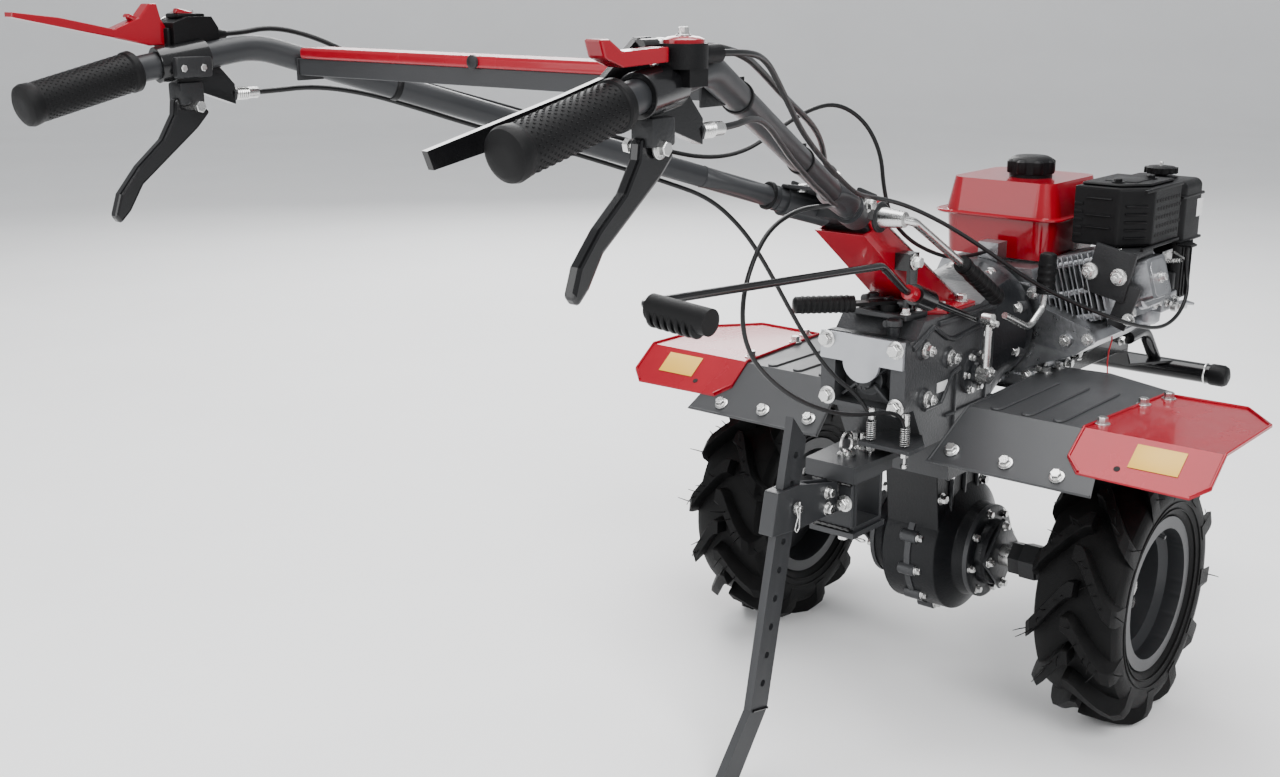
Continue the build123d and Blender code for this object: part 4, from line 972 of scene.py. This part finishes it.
rubber = Shape()
metal = Shape()
plastic = Shape()
cast = Shape()
for side in (-1, 1):
    start = at(-1172, side * 334, 976.4)
    along = Vector((GRIP_DIR.x, side * GRIP_DIR.y, GRIP_DIR.z))
    rubber.lathe(start, along, [(0, 19), (2, 21.6), (8, 21.6), (10, 20.2)], 36)
    rubber.lathe(start + along * 119 * MM, along, [(-4, 19.5), (-2, 21), (6, 21.8), (10, 20.4),
            (12.6, 16), (13, 8)], 36)
    across = along.orthogonal().normalized()
    up = along.cross(across)
    for i in range(26):
        for k in range(22):
            a = math.radians((k + (i % 2) / 2) * 360 / 22)
            out = across * math.cos(a) + up * math.sin(a)
            rubber.lathe(start + along * (14 + 3.9 * i) * MM + out * 19.8 * MM, out, [(0, 1.5),
                    (0.8, 0.8)], 4)
    # Cable adjuster, lever pivot and clamp screws of the lever bracket.
    y = side * 324
    metal.lathe(at(-1062, y, 947), FORWARD, [(0, 6.5), (8, 6.5), (8, 5), (20, 5), (20, 6.2),
            (34, 6.2), (35, 4.5)], 20)
    for i in range(6):
        metal.lathe(at(-1056 + 2.6 * i, y, 947), FORWARD, [(0, 6.5), (1.2, 7.2), (2, 6.5)], 20)
    metal.bolt(at(-1119, side * 331, 938), LEFT * side, 11)
    metal.rod(at(-1119, side * 298, 938), at(-1119, side * 332, 938), 4, 14)
    metal.hex(at(-1119, side * 302, 938), LEFT * -side, 11, 6)
    for x in (-1132, -1108):
        metal.bolt(at(x, side * 306, 978), LEFT * -side, 7, washer=False)
    cast.box(at(-1119, side * 308, 979), (44, 10, 22), edge=2.5)
    cast.box(at(-1118, side * 324, 951), (30, 24, 24), edge=3)
    cast.lathe(at(-1062, y, 947), FORWARD, [(0, 9), (3, 9), (4, 8)], 6)
    # End plate of the crossbar.
    cast.box(at(-985, side * 282, 972), (36, 3, 24), edge=1)
cast.lathe(at(-1005, 0, 990), -FORWARD, [(0, 7), (2.5, 7), (4, 4)], 20)
straps = Shape()
for side, t in ((1, 0.30), (1, 0.76), (-1, 0.42), (-1, 0.84)):
    along = (bar(side, t + 0.01) - bar(side, t)).normalized()
    straps.lathe(bar(side, t), along, [(0, 15.2), (1, 15.8), (6, 15.8), (7, 15.2)], 32)
    straps.box(bar(side, t, 16.5), (10, 7, 6), edge=1)
straps.keep("cable_straps", "black_plastic", "handlebar")
# Left side: switch block with its rocker and clip.
plastic.box(at(-1100, 343, 1031), (34, 24, 5), edge=2)
plastic.box(at(-1130, 343, 1006), (5, 28, 26), edge=2)
for y in (328, 358):
    plastic.box(at(-1100, y, 1000), (46, 3.5, 40), edge=1.5)
plastic.lathe(at(-1076, 345, 1010), FORWARD, [(0, 8), (14, 7), (26, 4.5)], 20)
plastic.keep("switch_housing_details", "black_plastic", "handlebar")
metal.tube([at(-1125, 364, 1012), at(-1116, 366, 1026), at(-1104, 360, 1034), at(-1092, 340, 1035)], 1.8, 8)
metal.bolt(at(-1098, 363, 992), LEFT, 8, washer=False)
rocker = Shape()
rocker.box(at(-1106, 338, 1034), (20, 9, 6), around("Y", 14), 2)
rocker.box(at(-1160, 344, 1027), (24, 13, 5), around("Y", 28), 2)
# Right side: throttle and steering levers.
rocker.lathe(at(-1092, -334, 1020), UP, [(0, 17), (3, 17), (5, 13), (6, 5)], 32)
TAB = (bar(-1, 0.79) - bar(-1, 0.77)).normalized()
TAB_UP = (UP - TAB * UP.dot(TAB)).normalized()
TAB_TURN = Matrix((TAB, TAB_UP.cross(TAB), TAB_UP)).transposed()
TAB_OUT = TAB_TURN @ Vector((0, -0.6, 0.8))
rocker.box(bar(-1, 0.77) + TAB_OUT * 13.4 * MM, (36, 16, 5), Matrix((TAB, TAB_OUT.cross(TAB),
        TAB_OUT)).transposed(), 1.5)
cast.lathe(bar(-1, 0.77) + TAB_OUT * 15 * MM, TAB_OUT, [(0, 7), (3, 7), (4.5, 4)], 20)
rocker.keep("hand_control_caps", "red_plastic", "handlebar")
metal.bolt(at(-1092, -334, 1025), UP, 8)
metal.lathe(at(-1041, -330, 1010), -FORWARD, [(0, 4.6), (2, 6), (14, 6), (16, 7.5), (22, 7.5)], 18)
metal.lathe(at(-1094, -304, 1016), FORWARD, [(0, 6), (6, 7.5), (12, 7.5), (14, 5.5), (30, 5.5),
        (31, 7), (40, 7)], 18)
metal.bolt(at(-1098, -297, 1014), LEFT, 9)
metal.bolt(at(-1180, -294, 972), LEFT, 8, washer=False)
# Hub: clamp plate, teeth, tie and small fittings.
for y in (-41, 41):
    side = 1 if y > 0 else -1
    cast.lathe(at(PIVOT.x, y - side * 1.0, PIVOT.z), LEFT * side, [(0, 21), (3, 21), (5, 18)], 40)
for k in range(24):
    a = math.radians(15 * k)
    cast.box(at(PIVOT.x + 23.5 * math.cos(a), 0, PIVOT.z + 23.5 * math.sin(a)), (4, 64, 3),
            around("Y", -15 * k), 0.8)
cast.box(at(-372, 0, 794), (60, 96, 5), around("Y", 18), 1.5)
cast.box(at(-352, -52, 782), (46, 6, 36), around("Y", 18), 2)
cast.box(at(-352, 52, 782), (46, 6, 36), around("Y", 18), 2)
metal.bolt(at(-352, -56, 782), -LEFT, 13)
metal.bolt(at(-352, 56, 782), LEFT, 13)
metal.bolt(at(-388, -22, 796), UP, 11)
metal.bolt(at(-388, 22, 796), UP, 11)
metal.lathe(at(-404, -40.6, 817), Vector((-56, -16, 30)), [(0, 8.5), (4, 9), (12, 9), (14, 6),
        (30, 4.4)], 20)
metal.hex(at(-400, -39.5, 815), Vector((-56, -16, 30)), 17, 6)
SEAT, BEFORE = Vector((-402, -40, 816)), Vector((-458, -56, 846))
CABLE_IN = (SEAT - BEFORE).normalized()
metal.lathe(at(*(SEAT - CABLE_IN * 30)), CABLE_IN, [(0, 5), (1, 6.4), (14, 6.4), (15, 5.4), (26, 5.4)], 20)
cast.lathe(at(*(SEAT - CABLE_IN * 54)), CABLE_IN, [(0, 4.2), (4, 5.4), (14, 7.4), (22, 8), (26, 6.6)], 20)
tie = Shape()
tie.lathe(at(-412, 58, 789), Vector((-630, 257, 212)), [(0, 18), (1, 19), (6, 19), (7, 18)], 32)
tie.keep("hub_tie", "black_plastic", "handlebar")
metal.keep("handlebar_fittings", "steel", "handlebar")
cast.keep("handlebar_castings", "black_cast", "handlebar")
rubber.keep("grip_ribs", "grip_rubber", "handlebar")
cords = Shape()
pull = [at(345, 96, 618), at(300, 108, 630), at(260, 108, 622)]
cords.tube(pull, 2.2, 8)
cords.tube([at(160, -188, 473), at(161, -186, 490), at(158, -188, 508), at(162, -190, 526),
        at(160, -190, 540)], 1.2, 8)
cords.keep("red_cord", "red_plastic", surface=CORD_RED)

# ---------------------------------------------------------------- floor and light
floor_mesh = bpy.data.meshes.new("floor")
sweep = [(-9, 0), (9, 0), (9.8, 0.12), (10.5, 0.5), (10.9, 1.2), (11, 2.2), (11, 8)]
rows = []
floor_bm = bmesh.new()
BACK = Vector((math.cos(CAMERA_YAW), math.sin(CAMERA_YAW), 0))
ACROSS = Vector((-BACK.y, BACK.x, 0))
for run, rise in sweep:
    rows.append([floor_bm.verts.new(BACK * run + ACROSS * w + UP * rise) for w in (-12, 12)])
for a, b in zip(rows, rows[1:]):
    floor_bm.faces.new((a[0], b[0], b[1], a[1])).smooth = True
bmesh.ops.recalc_face_normals(floor_bm, faces=floor_bm.faces)
floor_bm.to_mesh(floor_mesh)
floor_bm.free()
floor = bpy.data.objects.new("floor", floor_mesh)
bpy.context.scene.collection.objects.link(floor)
floor_mesh.materials.append(look("studio_floor", (0.93, 0.93, 0.93), 0.7, 0.0, 0.02, 1.5, 60, 0.02))

world = bpy.data.worlds.new("studio")
bpy.context.scene.world = world
world.use_nodes = True
sky = world.node_tree.nodes["Background"]
sky.inputs["Color"].default_value = (0.95, 0.97, 1.0, 1)
sky.inputs["Strength"].default_value = 0.6


def lamp(name, place, aim, size, power, tint=(1, 1, 1)):
    data = bpy.data.lights.new(name, "AREA")
    data.energy = power
    data.size = size
    data.color = tint
    made = bpy.data.objects.new(name, data)
    made.location = place
    made.rotation_euler = (aim - place).to_track_quat("-Z", "Y").to_euler()
    bpy.context.scene.collection.objects.link(made)


MIDDLE = at(-200, 0, 500)
lamp("key", Vector((-2.2, -3.4, 3.6)), MIDDLE, 2.6, 230)
lamp("top", Vector((0.4, 0.4, 4.2)), MIDDLE, 3.2, 200)
lamp("fill", Vector((-4.2, 1.6, 1.8)), MIDDLE, 3.0, 90)
lamp("rim", Vector((3.0, 3.2, 2.6)), MIDDLE, 2.4, 140)
